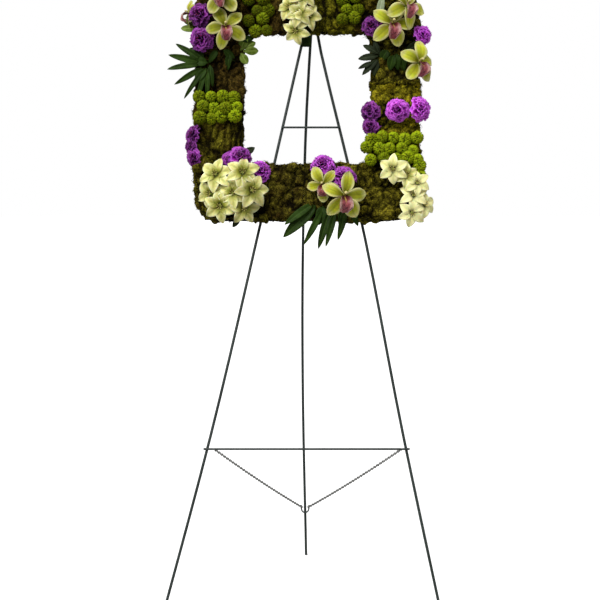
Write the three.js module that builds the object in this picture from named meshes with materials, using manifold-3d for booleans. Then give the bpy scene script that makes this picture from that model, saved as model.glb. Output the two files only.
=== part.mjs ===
// A square mossed funeral wreath hung on a three-legged wire easel.
// Millimetres, +X to the right, +Y to the back, +Z up, standing on Z = 0.
// The two front legs, the crossbars and the wreath lie in one plane that leans back. A place in
// that plane is given as (across, along, out): across to the right, along up the slope from the
// feet, and out towards the viewer.
import * as THREE from 'three';
import { mergeVertices } from 'three/addons/utils/BufferGeometryUtils.js';
import Module from 'manifold-3d';

const wasm = await Module();
wasm.setup();

// ---- Driving dimensions -------------------------------------------------------------------

const GAP = 0.3; // between pieces that touch
const LEAN = THREE.MathUtils.degToRad(9); // how far the front frame leans back

// Easel
const LEG_WIRE = 7; // diameter
const BAR_WIRE = 5;
const LOOP_WIRE = 4;
const CHAIN_WIDTH = 6;
const WIRE_SIDES = 12; // flat sides round each wire
const SPREAD = 329; // each front foot from the middle
const TOP_ALONG = 1440; // where the front legs end, measured up the slope
const TOP_ACROSS = 22.5; // the frame stands a touch crooked, so its top is right of the middle
const TOP_HALF_GAP = 6.5; // from the middle of the top to each front leg's axis
const HINGE_ALONG = 1412;
const LEG_STEPS = 16; // straight lengths that make up each front leg
const UPPER_BAR_ALONG = 1165;
const LOWER_BAR_ALONG = 397;
const BAR_CLEARANCE = 1; // between a front leg and the lower crossbar bent round it
const BAR_OVERHANG = 3; // of the straight upper crossbar past each front leg's axis
const EYE_CLEARANCE = 0.5; // between the hinge rod and the rear leg's eye
const EYE_LEAD = 9; // from the eye down to where the rear leg runs straight
const REAR_FOOT = { x: 12, y: 595 };
const CHAIN_LOOP_HEIGHT = 135; // on the rear leg
const FOOT_SPARE = 12; // extra length below the floor, which the floor's plane cuts off

// Wreath
const WREATH_ACROSS = 12; // its centre
const WREATH_ALONG = 1222;
const WREATH_WIDTH = 545;
const WREATH_HEIGHT = 575;
const BAR_WIDTH = 124; // of each side of the square
const SILL = 18; // how much further the moss is piled up on the bottom side, into the opening
const BACK_OUT = LEG_WIRE / 2 + 0.5; // the back of the wreath, just in front of the legs
const BACKING_THICK = 4;
const FOAM_WIDTH = 100;
const FOAM_THICK = 36;
const FOAM_CORNER = 54; // length of the ring's rounded corners, measured along each side
const MOSS_CORNER = 58;
const MOSS_TOP = 50; // height of the mossed face over the wreath's back
const HEAD_BASE = 53; // where the flower heads start
const STEM_RADIUS = 2;
const PAD_THICK = 7; // under a bunch of heads

// ---- Solids -------------------------------------------------------------------------------

function solidOf(geometry) {
  const bare = geometry.clone();
  bare.deleteAttribute('normal');
  bare.deleteAttribute('uv');
  const merged = mergeVertices(bare, 1e-4);
  return new wasm.Manifold(new wasm.Mesh({
    numProp: 3,
    vertProperties: new Float32Array(merged.attributes.position.array),
    triVerts: new Uint32Array(merged.index.array),
  }));
}

function geometryOf(solid) {
  const mesh = solid.getMesh();
  const points = new Float32Array(mesh.numVert * 3);
  for (let i = 0; i < mesh.numVert; i += 1) {
    for (let k = 0; k < 3; k += 1) points[3 * i + k] = mesh.vertProperties[mesh.numProp * i + k];
  }
  const geometry = new THREE.BufferGeometry();
  geometry.setAttribute('position', new THREE.BufferAttribute(points, 3));
  geometry.setIndex(new THREE.BufferAttribute(new Uint32Array(mesh.triVerts), 1));
  geometry.computeVertexNormals();
  return geometry;
}

function largestPart(solid) {
  return solid.decompose().reduce((a, b) => (b.volume() > a.volume() ? b : a));
}

function join(geometries) {
  return geometries.map(solidOf).reduce((a, b) => a.add(b));
}

// A path with one step of an extrusion from each point to the next.
class BentPath extends THREE.Curve {
  constructor(points) {
    super();
    this.points = points;
  }

  getPoint(t, target = new THREE.Vector3()) {
    const step = t * (this.points.length - 1);
    const i = Math.min(Math.floor(step + 1e-9), this.points.length - 2);
    return target.copy(this.points[i]).lerp(this.points[i + 1], step - i);
  }

  getPointAt(t, target) {
    return this.getPoint(t, target);
  }

  getTangentAt(t, target = new THREE.Vector3()) {
    const i = Math.round(t * (this.points.length - 1));
    const here = this.points[i];
    const before = here.clone().sub(this.points[Math.max(i - 1, 0)]).normalize();
    const after = this.points[Math.min(i + 1, this.points.length - 1)].clone().sub(here).normalize();
    return target.copy(before).add(after).normalize();
  }
}

// A round rod bent at each of these points, with flat ends.
function rod(points, diameter, sides = WIRE_SIDES) {
  const section = new THREE.Shape();
  for (let i = 0; i < sides; i += 1) {
    const turn = (2 * Math.PI * (i + 0.5)) / sides;
    const [x, y] = [Math.cos(turn) * diameter / 2, Math.sin(turn) * diameter / 2];
    if (i === 0) section.moveTo(x, y);
    else section.lineTo(x, y);
  }
  section.closePath();
  return new THREE.ExtrudeGeometry(section, {
    steps: points.length - 1, extrudePath: new BentPath(points), bevelEnabled: false,
  });
}

function smoothed(points, steps) {
  return new THREE.CatmullRomCurve3(points, false, 'centripetal').getSpacedPoints(steps);
}

// A block between two opposite corners.
function block([x0, y0, z0], [x1, y1, z1]) {
  return new THREE.BoxGeometry(x1 - x0, y1 - y0, z1 - z0)
    .translate((x0 + x1) / 2, (y0 + y1) / 2, (z0 + z1) / 2);
}

// ---- The leaning plane --------------------------------------------------------------------

function onFrame(across, along, out = 0) {
  return new THREE.Vector3(
    across,
    along * Math.sin(LEAN) - out * Math.cos(LEAN),
    along * Math.cos(LEAN) + out * Math.sin(LEAN),
  );
}

// The group that wreath pieces sit in: X across, Y up the slope, Z out from the wreath's back.
const wreath = new THREE.Group();
wreath.rotation.x = Math.PI / 2 - LEAN;
wreath.position.copy(onFrame(WREATH_ACROSS, WREATH_ALONG, BACK_OUT));

const object = new THREE.Group();
object.add(wreath);

function addPiece(parent, name, geometry, finish) {
  const mesh = new THREE.Mesh(geometry, new THREE.MeshStandardMaterial(finish));
  mesh.name = name;
  parent.add(mesh);
}

// ---- Finishes -----------------------------------------------------------------------------

const PAINTED_WIRE = { color: 0x38463f, roughness: 0.45, metalness: 0.3 };
const CHAIN = { color: 0x6e7571, roughness: 0.4, metalness: 0.7 };
const BACKING = { color: 0x2e4a30, roughness: 0.6, metalness: 0 };
const FOAM = { color: 0x3f5f3a, roughness: 0.95, metalness: 0 };
const MOSS_DARK = { color: 0x2b2718, roughness: 1, metalness: 0 };
const MOSS_OLIVE = { color: 0x5c5a24, roughness: 1, metalness: 0 };
const MOSS_YELLOW = { color: 0x8a7a3a, roughness: 1, metalness: 0 };
const PURPLE = { color: 0x7a2590, roughness: 0.75, metalness: 0 };
const ORCHID = { color: 0xb9c45e, roughness: 0.55, metalness: 0 };
const CREAM = { color: 0xe9e7bd, roughness: 0.6, metalness: 0 };
const LIME = { color: 0x7f9c22, roughness: 0.8, metalness: 0 };
const LEAF = { color: 0x2f5a22, roughness: 0.5, metalness: 0 };

// ---- Easel --------------------------------------------------------------------------------

const belowFloor = solidOf(block([-2000, -2000, -200], [2000, 2000, 0]));

function cutAtFloor(geometry) {
  return geometryOf(solidOf(geometry).subtract(belowFloor));
}

const leftLegPoints = [[-SPREAD - 8, -30], [-SPREAD, 0], [-213, 442], [-99, 935], [-2, 1362],
  [TOP_ACROSS - TOP_HALF_GAP, TOP_ALONG]];
const rightLegPoints = [[SPREAD + 6, -30], [SPREAD, 0], [237, 442], [143, 935], [43, 1362],
  [TOP_ACROSS + TOP_HALF_GAP, TOP_ALONG]];

function frontLeg(name, places) {
  const bends = smoothed(places.map(([across, along]) => onFrame(across, along)), LEG_STEPS);
  addPiece(object, name, cutAtFloor(rod(bends, LEG_WIRE)), PAINTED_WIRE);
  return bends;
}

const leftLeg = frontLeg('left_front_leg', leftLegPoints);
const rightLeg = frontLeg('right_front_leg', rightLegPoints);

// How far across a front leg's axis lies at a height up the slope.
function acrossAt(bends, along) {
  const height = onFrame(0, along).z;
  const i = bends.findIndex((point) => point.z > height);
  const [below, above] = [bends[i - 1], bends[i]];
  return below.clone().lerp(above, (height - below.z) / (above.z - below.z)).x;
}

// The upper crossbar is straight and is welded on the fronts of both legs.
function upperCrossbar() {
  const out = LEG_WIRE / 2 + GAP + BAR_WIRE / 2;
  const left = onFrame(acrossAt(leftLeg, UPPER_BAR_ALONG) - BAR_OVERHANG, UPPER_BAR_ALONG, out);
  const right = onFrame(acrossAt(rightLeg, UPPER_BAR_ALONG) + BAR_OVERHANG, UPPER_BAR_ALONG, out);
  addPiece(object, 'upper_crossbar', rod([left, right], BAR_WIRE), PAINTED_WIRE);
}

// The lower crossbar lies on the front of both legs and hooks round behind each one.
function lowerCrossbar() {
  const wrap = LEG_WIRE / 2 + BAR_WIRE / 2 + BAR_CLEARANCE;
  const ends = [acrossAt(leftLeg, LOWER_BAR_ALONG), acrossAt(rightLeg, LOWER_BAR_ALONG)];
  const hook = (centre, side) => [90, 60, 30, 0, -30, -60].map((degrees) => {
    const turn = THREE.MathUtils.degToRad(degrees);
    return onFrame(centre + side * wrap * Math.cos(turn), LOWER_BAR_ALONG, wrap * Math.sin(turn));
  });
  addPiece(object, 'lower_crossbar',
    rod([...hook(ends[0], -1).reverse(), ...hook(ends[1], 1)], BAR_WIRE), PAINTED_WIRE);
  return { ends, wrap };
}

upperCrossbar();
const lower = lowerCrossbar();

// The hinge rod welded across the backs of the front legs, which the rear leg's eye hangs on.
const HINGE_WIRE = 5;
const HINGE_OVERHANG = 4; // past each front leg's axis
const hingeOut = -(LEG_WIRE / 2 + GAP + HINGE_WIRE / 2);
const hingeLeft = acrossAt(leftLeg, HINGE_ALONG);
const hingeRight = acrossAt(rightLeg, HINGE_ALONG);
addPiece(object, 'hinge_rod', rod([onFrame(hingeLeft - HINGE_OVERHANG, HINGE_ALONG, hingeOut),
  onFrame(hingeRight + HINGE_OVERHANG, HINGE_ALONG, hingeOut)], HINGE_WIRE), PAINTED_WIRE);

// The rear leg: a slightly bowed rod whose top end is rolled into an eye round the hinge rod.
const hingeCentre = onFrame((hingeLeft + hingeRight) / 2, HINGE_ALONG, hingeOut);
const eyeRadius = HINGE_WIRE / 2 + EYE_CLEARANCE + LEG_WIRE / 2;
const rearDrop = new THREE.Vector3(0, REAR_FOOT.y - hingeCentre.y, -hingeCentre.z).normalize();

function rearLegPoint(height, x) {
  const share = (hingeCentre.z - height) / hingeCentre.z;
  const y = hingeCentre.y + share * (REAR_FOOT.y - hingeCentre.y);
  return new THREE.Vector3(x, y, height);
}

function rearLeg() {
  const behind = new THREE.Vector3(0, -rearDrop.z, rearDrop.y); // square to the leg, to the back
  const eye = [];
  for (let degrees = 20; degrees <= 300; degrees += 35) {
    const turn = THREE.MathUtils.degToRad(degrees);
    eye.push(hingeCentre.clone()
      .addScaledVector(rearDrop, eyeRadius * Math.cos(turn))
      .addScaledVector(behind, eyeRadius * Math.sin(turn)));
  }
  const start = eye[0].clone().addScaledVector(rearDrop, EYE_LEAD).addScaledVector(behind, -1.5);
  const shaft = [rearLegPoint(-FOOT_SPARE, REAR_FOOT.x), rearLegPoint(0, REAR_FOOT.x),
    rearLegPoint(440, 3), rearLegPoint(800, 2), rearLegPoint(1160, 10), start];
  return cutAtFloor(rod([...smoothed(shaft, LEG_STEPS), ...eye], LEG_WIRE));
}

addPiece(object, 'rear_leg', rearLeg(), PAINTED_WIRE);

// The hook welded between the tops of the front legs. Its tip goes into the wreath's backing.
const HOOK_TIP_OUT = 12;
const HOOK_STEPS = 10;
const hookPath = [[TOP_ALONG - 10, 0], [TOP_ALONG + 6, 0], [TOP_ALONG + 13, 3], [TOP_ALONG + 16, 8],
  [TOP_ALONG + 22, HOOK_TIP_OUT], [TOP_ALONG + 30, HOOK_TIP_OUT]];

function hookRod(diameter) {
  const points = hookPath.map(([along, out]) => onFrame(TOP_ACROSS, along, out));
  return rod(smoothed(points, HOOK_STEPS), diameter);
}

addPiece(object, 'wreath_hook', hookRod(BAR_WIRE), PAINTED_WIRE);

// The U-shaped loop welded on the front of the rear leg, with a chain on each arm.
const loopBase = rearLegPoint(CHAIN_LOOP_HEIGHT, REAR_FOOT.x - 3);
const LOOP_HALF = 10;
const LOOP_ARM = 14;
const LOOP_STEPS = 16;
const LOOP_GAP = 0.6; // to the rear leg

function loopPoint(across, up) {
  const front = LEG_WIRE / 2 + LOOP_WIRE / 2 + LOOP_GAP;
  return new THREE.Vector3(loopBase.x + across, loopBase.y, loopBase.z + up)
    .addScaledVector(new THREE.Vector3(0, rearDrop.z, -rearDrop.y), front);
}

const loopBends = [[-1, LOOP_ARM], [-1, 4], [-0.7, -3], [0, -6], [0.7, -3], [1, 4], [1, LOOP_ARM]]
  .map(([share, up]) => loopPoint(share * LOOP_HALF, up));
addPiece(object, 'chain_loop', rod(smoothed(loopBends, LOOP_STEPS), LOOP_WIRE), PAINTED_WIRE);

// The two check chains, from the lower crossbar to the loop, with a slight sag.
const CHAIN_INSETS = [19, 13]; // from the left and right front legs, along the crossbar
const CHAIN_SAG = 4;
const CHAIN_END = 6; // short of the wires that its last links hook on
const CHAIN_SIDES = 6;

function checkChain(name, side) {
  const end = side < 0 ? lower.ends[0] + CHAIN_INSETS[0] : lower.ends[1] - CHAIN_INSETS[1];
  const bar = onFrame(end, LOWER_BAR_ALONG, lower.wrap);
  const arm = loopPoint(side * LOOP_HALF, LOOP_ARM * 0.6);
  const pull = arm.clone().sub(bar).normalize();
  const from = bar.clone().addScaledVector(pull, CHAIN_END);
  const to = arm.clone().addScaledVector(pull, -CHAIN_END);
  const points = [0, 0.25, 0.5, 0.75, 1].map((t) => {
    const point = from.clone().lerp(to, t);
    point.z -= CHAIN_SAG * 4 * t * (1 - t);
    return point;
  });
  addPiece(object, name, rod(points, CHAIN_WIDTH, CHAIN_SIDES), CHAIN);
}

checkChain('chain_left', -1);
checkChain('chain_right', 1);

// ---- Wreath base --------------------------------------------------------------------------

// An outline with rounded corners, low to high up the wreath and to half each way across it.
function roundedOblong(Path, half, low, high, corner) {
  const path = new Path();
  path.moveTo(-half + corner, low);
  path.lineTo(half - corner, low);
  path.quadraticCurveTo(half, low, half, low + corner);
  path.lineTo(half, high - corner);
  path.quadraticCurveTo(half, high, half - corner, high);
  path.lineTo(-half + corner, high);
  path.quadraticCurveTo(-half, high, -half, high - corner);
  path.lineTo(-half, low + corner);
  path.quadraticCurveTo(-half, low, -half + corner, low);
  return path;
}

// A flat square ring centred in the wreath, from one height over its back to another. inset is
// how much narrower than the wreath's own bars it is on each side, and sill is how much wider its
// bottom side is, towards the opening.
function squareRing(inset, low, high, corner, bevel = 0, sill = 0) {
  const [halfWidth, halfHeight] = [WREATH_WIDTH / 2, WREATH_HEIGHT / 2];
  const outer = inset + bevel;
  const inner = BAR_WIDTH - inset - bevel;
  const shape = roundedOblong(THREE.Shape, halfWidth - outer, outer - halfHeight,
    halfHeight - outer, corner);
  shape.holes.push(roundedOblong(THREE.Path, halfWidth - inner, inner + sill - halfHeight,
    halfHeight - inner, corner / 2));
  return new THREE.ExtrudeGeometry(shape, {
    depth: high - low - 2 * bevel,
    bevelEnabled: bevel > 0,
    bevelThickness: bevel,
    bevelSize: bevel,
    bevelSegments: 2,
    curveSegments: 4,
  }).translate(0, 0, low + bevel);
}

const foamInset = (BAR_WIDTH - FOAM_WIDTH) / 2;
const foamLow = BACKING_THICK + GAP;
const foamHigh = foamLow + FOAM_THICK;
const backing = solidOf(squareRing(foamInset - 2, 0, BACKING_THICK, FOAM_CORNER));
const foam = solidOf(squareRing(foamInset, foamLow, foamHigh, FOAM_CORNER));
const baseSpace = solidOf(squareRing(foamInset - 2 - GAP, -5, BACKING_THICK + GAP, FOAM_CORNER))
  .add(solidOf(squareRing(foamInset - GAP, 0, foamHigh + GAP, FOAM_CORNER)));

const MOSS_BEVEL = 14;
const mossSleeve = solidOf(squareRing(0, -MOSS_BEVEL, MOSS_TOP, MOSS_CORNER, MOSS_BEVEL, SILL))
  .subtract(solidOf(block([-400, -400, -60], [400, 400, 0.8])))
  .subtract(baseSpace);

// Patches of moss: name, finish, and the stretch of the ring that each covers.
const OUTSIDE = 320;
const mossPatches = [
  ['moss_top_left_corner', MOSS_DARK, [-OUTSIDE, 98], [-115, OUTSIDE]],
  ['moss_left_upper', MOSS_DARK, [-OUTSIDE, -25], [-130, 98]],
  ['moss_left_lower', MOSS_OLIVE, [-OUTSIDE, -135], [-130, -25]],
  ['moss_bottom_left_corner', MOSS_OLIVE, [-OUTSIDE, -OUTSIDE], [-95, -135]],
  ['moss_bottom', MOSS_DARK, [-95, -OUTSIDE], [60, -130]],
  ['moss_bottom_right_corner', MOSS_OLIVE, [60, -OUTSIDE], [OUTSIDE, -120]],
  ['moss_right', MOSS_YELLOW, [130, -120], [OUTSIDE, 40]],
  ['moss_top_right_corner', MOSS_YELLOW, [110, 40], [OUTSIDE, OUTSIDE]],
  ['moss_top_right', MOSS_YELLOW, [0, 130], [110, OUTSIDE]],
  ['moss_top_left', MOSS_DARK, [-115, 130], [0, OUTSIDE]],
];

// ---- Flower shapes, each growing along +Z from its own origin -----------------------------
// Each takes grow, which swells it all over: a swollen copy is the room that it keeps clear.

const STEM_DEPTH = 34;

function stem(grow, length = STEM_DEPTH) {
  return new THREE.CylinderGeometry(STEM_RADIUS + grow, STEM_RADIUS + grow, length + 3 + grow, 5)
    .rotateX(Math.PI / 2).translate(0, 0, (3 - length - grow) / 2);
}

function carnation(radius, grow) {
  const profile = [[0, -grow], [5 + grow, -grow], [6 + grow, 8 - grow], [radius * 0.72 + grow, 13 - grow],
    [radius + grow, 20], [radius * 0.9 + grow, 29], [radius * 0.5 + grow, 36 + grow], [0, 38 + grow]];
  const head = new THREE.LatheGeometry(profile.map(([r, z]) => new THREE.Vector2(r, z)), 9);
  return join([head.rotateX(Math.PI / 2), stem(grow)]);
}

const LOBE_STEPS = 4; // outline points on each petal

// A flat flower with pointed lobes, cupped towards the viewer or bent back.
function lobedPlate(radius, lobes, waist, thick, cup, grow) {
  const outline = new THREE.Shape();
  const steps = lobes * LOBE_STEPS;
  for (let i = 0; i < steps; i += 1) {
    const turn = (2 * Math.PI * i) / steps;
    const swell = Math.abs(Math.cos((lobes * turn) / 2));
    const reach = radius * (waist + (1 - waist) * swell ** 0.8) + grow;
    const [x, y] = [reach * Math.sin(turn), reach * Math.cos(turn)];
    if (i === 0) outline.moveTo(x, y);
    else outline.lineTo(x, y);
  }
  outline.closePath();
  const plate = new THREE.ExtrudeGeometry(outline, { depth: thick + 2 * grow, bevelEnabled: false })
    .translate(0, 0, -grow);
  const places = plate.attributes.position;
  for (let i = 0; i < places.count; i += 1) {
    const share = Math.hypot(places.getX(i), places.getY(i)) / radius;
    places.setZ(i, places.getZ(i) + cup * share * share);
  }
  return plate;
}

function cymbidium(radius, grow) {
  const column = 15; // from the moss to the petals
  const petals = lobedPlate(radius, 5, 0.5, 4, 7, grow).translate(0, 0, column);
  const lip = new THREE.SphereGeometry(1, 6, 4)
    .scale(radius * 0.3 + grow, radius * 0.36 + grow, 15 + grow)
    .translate(0, -radius * 0.16, column + 8);
  const neck = new THREE.CylinderGeometry(5 + grow, 3.5 + grow, column + 2 + grow, 5)
    .rotateX(Math.PI / 2).translate(0, 0, (column + 2 - grow) / 2);
  return join([petals, lip, neck, stem(grow)]);
}

function starBloom(radius, grow) {
  return join([lobedPlate(radius, 6, 0.45, 4, 6, grow).translate(0, 0, 8), stem(grow, 12)]);
}

function buttonMum(radius, grow) {
  return solidOf(new THREE.SphereGeometry(radius + grow, 6, 4).rotateX(Math.PI / 2)
    .scale(1, 1, 0.8).translate(0, 0, radius * 0.5));
}

// A flat leaf: a fan of pointed fingers from a root, each finger's tip given from the root.
function fingeredLeaf(tips, width, thick, grow) {
  const fingers = tips.map((tip) => {
    const length = Math.hypot(...tip);
    const half = width / 2 + grow;
    const outline = new THREE.Shape([[-3 - grow, 0], [0, -half / 2], [length * 0.6, -half],
      [length + 2 * grow, 0], [length * 0.6, half], [0, half / 2]].map((p) => new THREE.Vector2(...p)));
    return new THREE.ExtrudeGeometry(outline, { depth: thick + 2 * grow, bevelEnabled: false })
      .translate(0, 0, -grow)
      .rotateZ(Math.atan2(tip[1], tip[0]));
  });
  return join(fingers);
}

// ---- Placing the flowers ------------------------------------------------------------------
// at is [across, up] from the wreath's centre; lift is added to the head's base; tilt is [up,
// right], how many degrees the flower nods upwards and to the right.

function placed(build, { at, lift = 0, tilt = [0, 0] }) {
  const matrix = new THREE.Matrix4().makeTranslation(at[0], at[1], HEAD_BASE + lift)
    .multiply(new THREE.Matrix4().makeRotationY(THREE.MathUtils.degToRad(tilt[1])))
    .multiply(new THREE.Matrix4().makeRotationX(THREE.MathUtils.degToRad(-tilt[0])));
  return (grow) => build(grow).transform(matrix.elements);
}

// Several heads side by side, joined by the pad that they stand on. Two pegs hold it in the foam.
function bunch(heads) {
  const [xs, ys] = [0, 1].map((k) => heads.map(({ at }) => at[k]));
  const low = [Math.min(...xs), Math.min(...ys)];
  const high = [Math.max(...xs), Math.max(...ys)];
  return (grow) => {
    const pad = block([low[0] - grow, low[1] - grow, HEAD_BASE - grow],
      [high[0] + grow, high[1] + grow, HEAD_BASE + PAD_THICK + grow]);
    const pegs = [0.25, 0.75].map((share) => stem(grow).translate(
      low[0] + (high[0] - low[0]) * share, low[1] + (high[1] - low[1]) * share, HEAD_BASE));
    return heads.map((head) => placed(head.build, head)(grow)).concat(join([pad, ...pegs]))
      .reduce((a, b) => a.add(b));
  };
}

const CARNATION = 27;
const carnations = [
  { at: [-238, 138], lift: 6, tilt: [5, -15] },
  { at: [-247, 196], lift: 4, tilt: [15, -25] },
  { at: [-256, -90], lift: -24, tilt: [0, -62], radius: 21 },
  { at: [-252, -136], lift: -22, tilt: [-10, -60], radius: 21 },
  { at: [-163, -140], lift: 8, tilt: [5, 15] },
  { at: [-122, -164], lift: 2, tilt: [0, 20], radius: 23 },
  { at: [36, -160], lift: -4, tilt: [30, -10], radius: 24 },
  { at: [88, -182], lift: 10, tilt: [20, 10], radius: 24 },
  { at: [160, -44], lift: -8, tilt: [0, -45], radius: 22 },
  { at: [209, -30], lift: 10, tilt: [0, 0] },
  { at: [256, -26], lift: 2, tilt: [0, 30] },
  { at: [160, 172], lift: 2, tilt: [-10, -15], radius: 24 },
  { at: [262, 150], lift: -6, tilt: [0, 45], radius: 22 },
];

const CYMBIDIUM = 52;
const cymbidiums = [
  { at: [-188, 160], lift: 24, tilt: [0, 5] },
  { at: [-196, 232], lift: 34, tilt: [20, -10] },
  { at: [-262, 200], lift: 0, tilt: [10, -65], radius: 40 },
  { at: [204, 162], lift: 24, tilt: [0, 10] },
  { at: [246, 213], lift: 34, tilt: [15, 25] },
  { at: [256, 78], lift: 18, tilt: [-5, 30], radius: 48 },
  { at: [32, -216], lift: 18, tilt: [-5, -10] },
  { at: [82, -240], lift: 36, tilt: [-10, 15] },
];

const CREAM_BLOOM = 31;
const creamHeads = (places) => places.map(([x, y, lift, up, right]) => ({
  at: [x, y], lift, tilt: [up, right], build: (grow) => starBloom(CREAM_BLOOM, grow),
}));
const creamBunches = {
  cream_blooms_left: creamHeads([[-217, -172, 6, 10, -20], [-192, -202, 12, 0, 0],
    [-228, -232, 0, -10, -30], [-200, -258, 4, -25, -10]]),
  cream_blooms_bottom: creamHeads([[-146, -190, 8, 10, 15], [-130, -228, 4, -10, 20],
    [-160, -262, 0, -30, 5]]),
  cream_blooms_top: creamHeads([[-10, 228, 10, 20, 0], [-42, 205, 4, 0, -20], [-16, 172, 6, -20, 0],
    [14, 196, 12, 0, 15]]),
  cream_blooms_right_upper: creamHeads([[204, -165, 4, 10, -15], [238, -180, 6, 0, 20]]),
  cream_blooms_right_lower: creamHeads([[216, -222, 4, -5, 0], [246, -236, -2, -10, 30],
    [222, -262, -4, -30, 10]]),
};

const MUM = 14;
const MUM_PITCH = { across: 25, up: 23 };
// Rows of button heads across a stretch of a bar, each row set half a head aside.
function mumRows([x0, y0], columns, rows, aside) {
  const heads = [];
  for (let row = 0; row < rows; row += 1) {
    for (let column = 0; column < columns; column += 1) {
      heads.push({
        at: [x0 + column * MUM_PITCH.across + (row % 2) * aside, y0 - row * MUM_PITCH.up],
        lift: ((row + 2 * column) % 3) * 2 - 2,
        build: (grow) => buttonMum(MUM, grow),
      });
    }
  }
  return heads;
}

const mumBunches = {
  button_mums_left: mumRows([-252, 2], 4, 3, 12),
  button_mums_right: mumRows([158, -92], 4, 3, 12),
  button_mums_top_left: mumRows([-132, 226], 2, 3, 10),
  button_mums_top_right: mumRows([80, 226], 2, 3, 10),
};

const leaves = {
  palm_leaf_left: {
    root: [-262, 84, 5], tips: [[-50, 50], [-60, 20], [-66, -8], [-46, -46], [-28, -72]], width: 15,
  },
  palm_leaf_bottom: {
    root: [38, -262, 0],
    tips: [[-88, -62], [-54, -80], [-10, -86], [10, -84], [42, -72], [82, -54]],
    width: 20,
  },
  round_leaves: {
    root: [-160, 108, 2], tips: [[10, 42], [34, 24], [42, -4], [20, -34]], width: 24,
  },
  dark_leaves: {
    root: [178, 100, 2], tips: [[-48, -34], [-54, 6], [-40, 34], [22, -46]], width: 24,
  },
};

const LEAF_THICK = 2;

function leafSolid({ root, tips, width }) {
  return (grow) => fingeredLeaf(tips, width, LEAF_THICK, grow)
    .translate(root[0], root[1], HEAD_BASE + root[2]);
}

const HOLDER = { low: [-15, 134, 20], high: [9, 178, 44] }; // the little foam holder of the top bunch

function holderSolid(grow) {
  return solidOf(block(HOLDER.low.map((value) => value - grow), HOLDER.high.map((value) => value + grow)));
}

// Everything on the wreath from the front to the back. A piece is cut by the room of those before
// it, so that none of them overlap.
const layers = [];
const layer = (name, build, finish) => layers.push({ name, build, finish });
const numbered = (kind, i) => `${kind}_${String(i + 1).padStart(2, '0')}`;

cymbidiums.forEach((flower, i) => layer(numbered('cymbidium', i),
  placed((grow) => cymbidium(flower.radius ?? CYMBIDIUM, grow), flower), ORCHID));
carnations.forEach((flower, i) => layer(numbered('carnation', i),
  placed((grow) => carnation(flower.radius ?? CARNATION, grow), flower), PURPLE));
Object.entries(creamBunches).forEach(([name, heads]) => layer(name, bunch(heads), CREAM));
Object.entries(mumBunches).forEach(([name, heads]) => layer(name, bunch(heads), LIME));
Object.entries(leaves).forEach(([name, leaf]) => layer(name, leafSolid(leaf), LEAF));
layer('flower_holder', holderSolid, FOAM);
mossPatches.forEach(([name, finish, low, high]) => {
  const stretch = solidOf(block([low[0] + GAP / 2, low[1] + GAP / 2, -60],
    [high[0] - GAP / 2, high[1] - GAP / 2, 120]));
  layer(name, () => mossSleeve.intersect(stretch), finish);
});
layer('foam_ring', () => foam, FOAM);
layer('foam_backing', () => backing, BACKING);

wreath.updateMatrixWorld(true);
const hookRoom = solidOf(hookRod(BAR_WIRE + 2 * GAP))
  .transform(wreath.matrixWorld.clone().invert().elements);
const taken = [{ room: hookRoom, box: hookRoom.boundingBox() }];

function boxesMeet(a, b) {
  return [0, 1, 2].every((k) => a.min[k] <= b.max[k] && b.min[k] <= a.max[k]);
}

layers.forEach(({ name, build, finish }) => {
  let solid = build(0);
  const box = solid.boundingBox();
  taken.filter((other) => boxesMeet(box, other.box)).forEach((other) => {
    solid = solid.subtract(other.room);
  });
  solid = largestPart(solid);
  const isBase = name.startsWith('moss') || name.startsWith('foam');
  if (!isBase) {
    const room = build(GAP);
    taken.push({ room, box: room.boundingBox() });
  }
  addPiece(wreath, name, geometryOf(solid), finish);
});

// ---- The reference point: the middle of the base ------------------------------------------

object.updateMatrixWorld(true);
const bounds = new THREE.Box3().setFromObject(object, true);
const centre = bounds.getCenter(new THREE.Vector3());
object.position.set(-centre.x, -centre.y, -bounds.min.z);
object.updateMatrixWorld(true);

export default object;
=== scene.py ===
"""A square mossed funeral wreath with orchids, carnations and cream blooms on a folding wire easel."""

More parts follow.
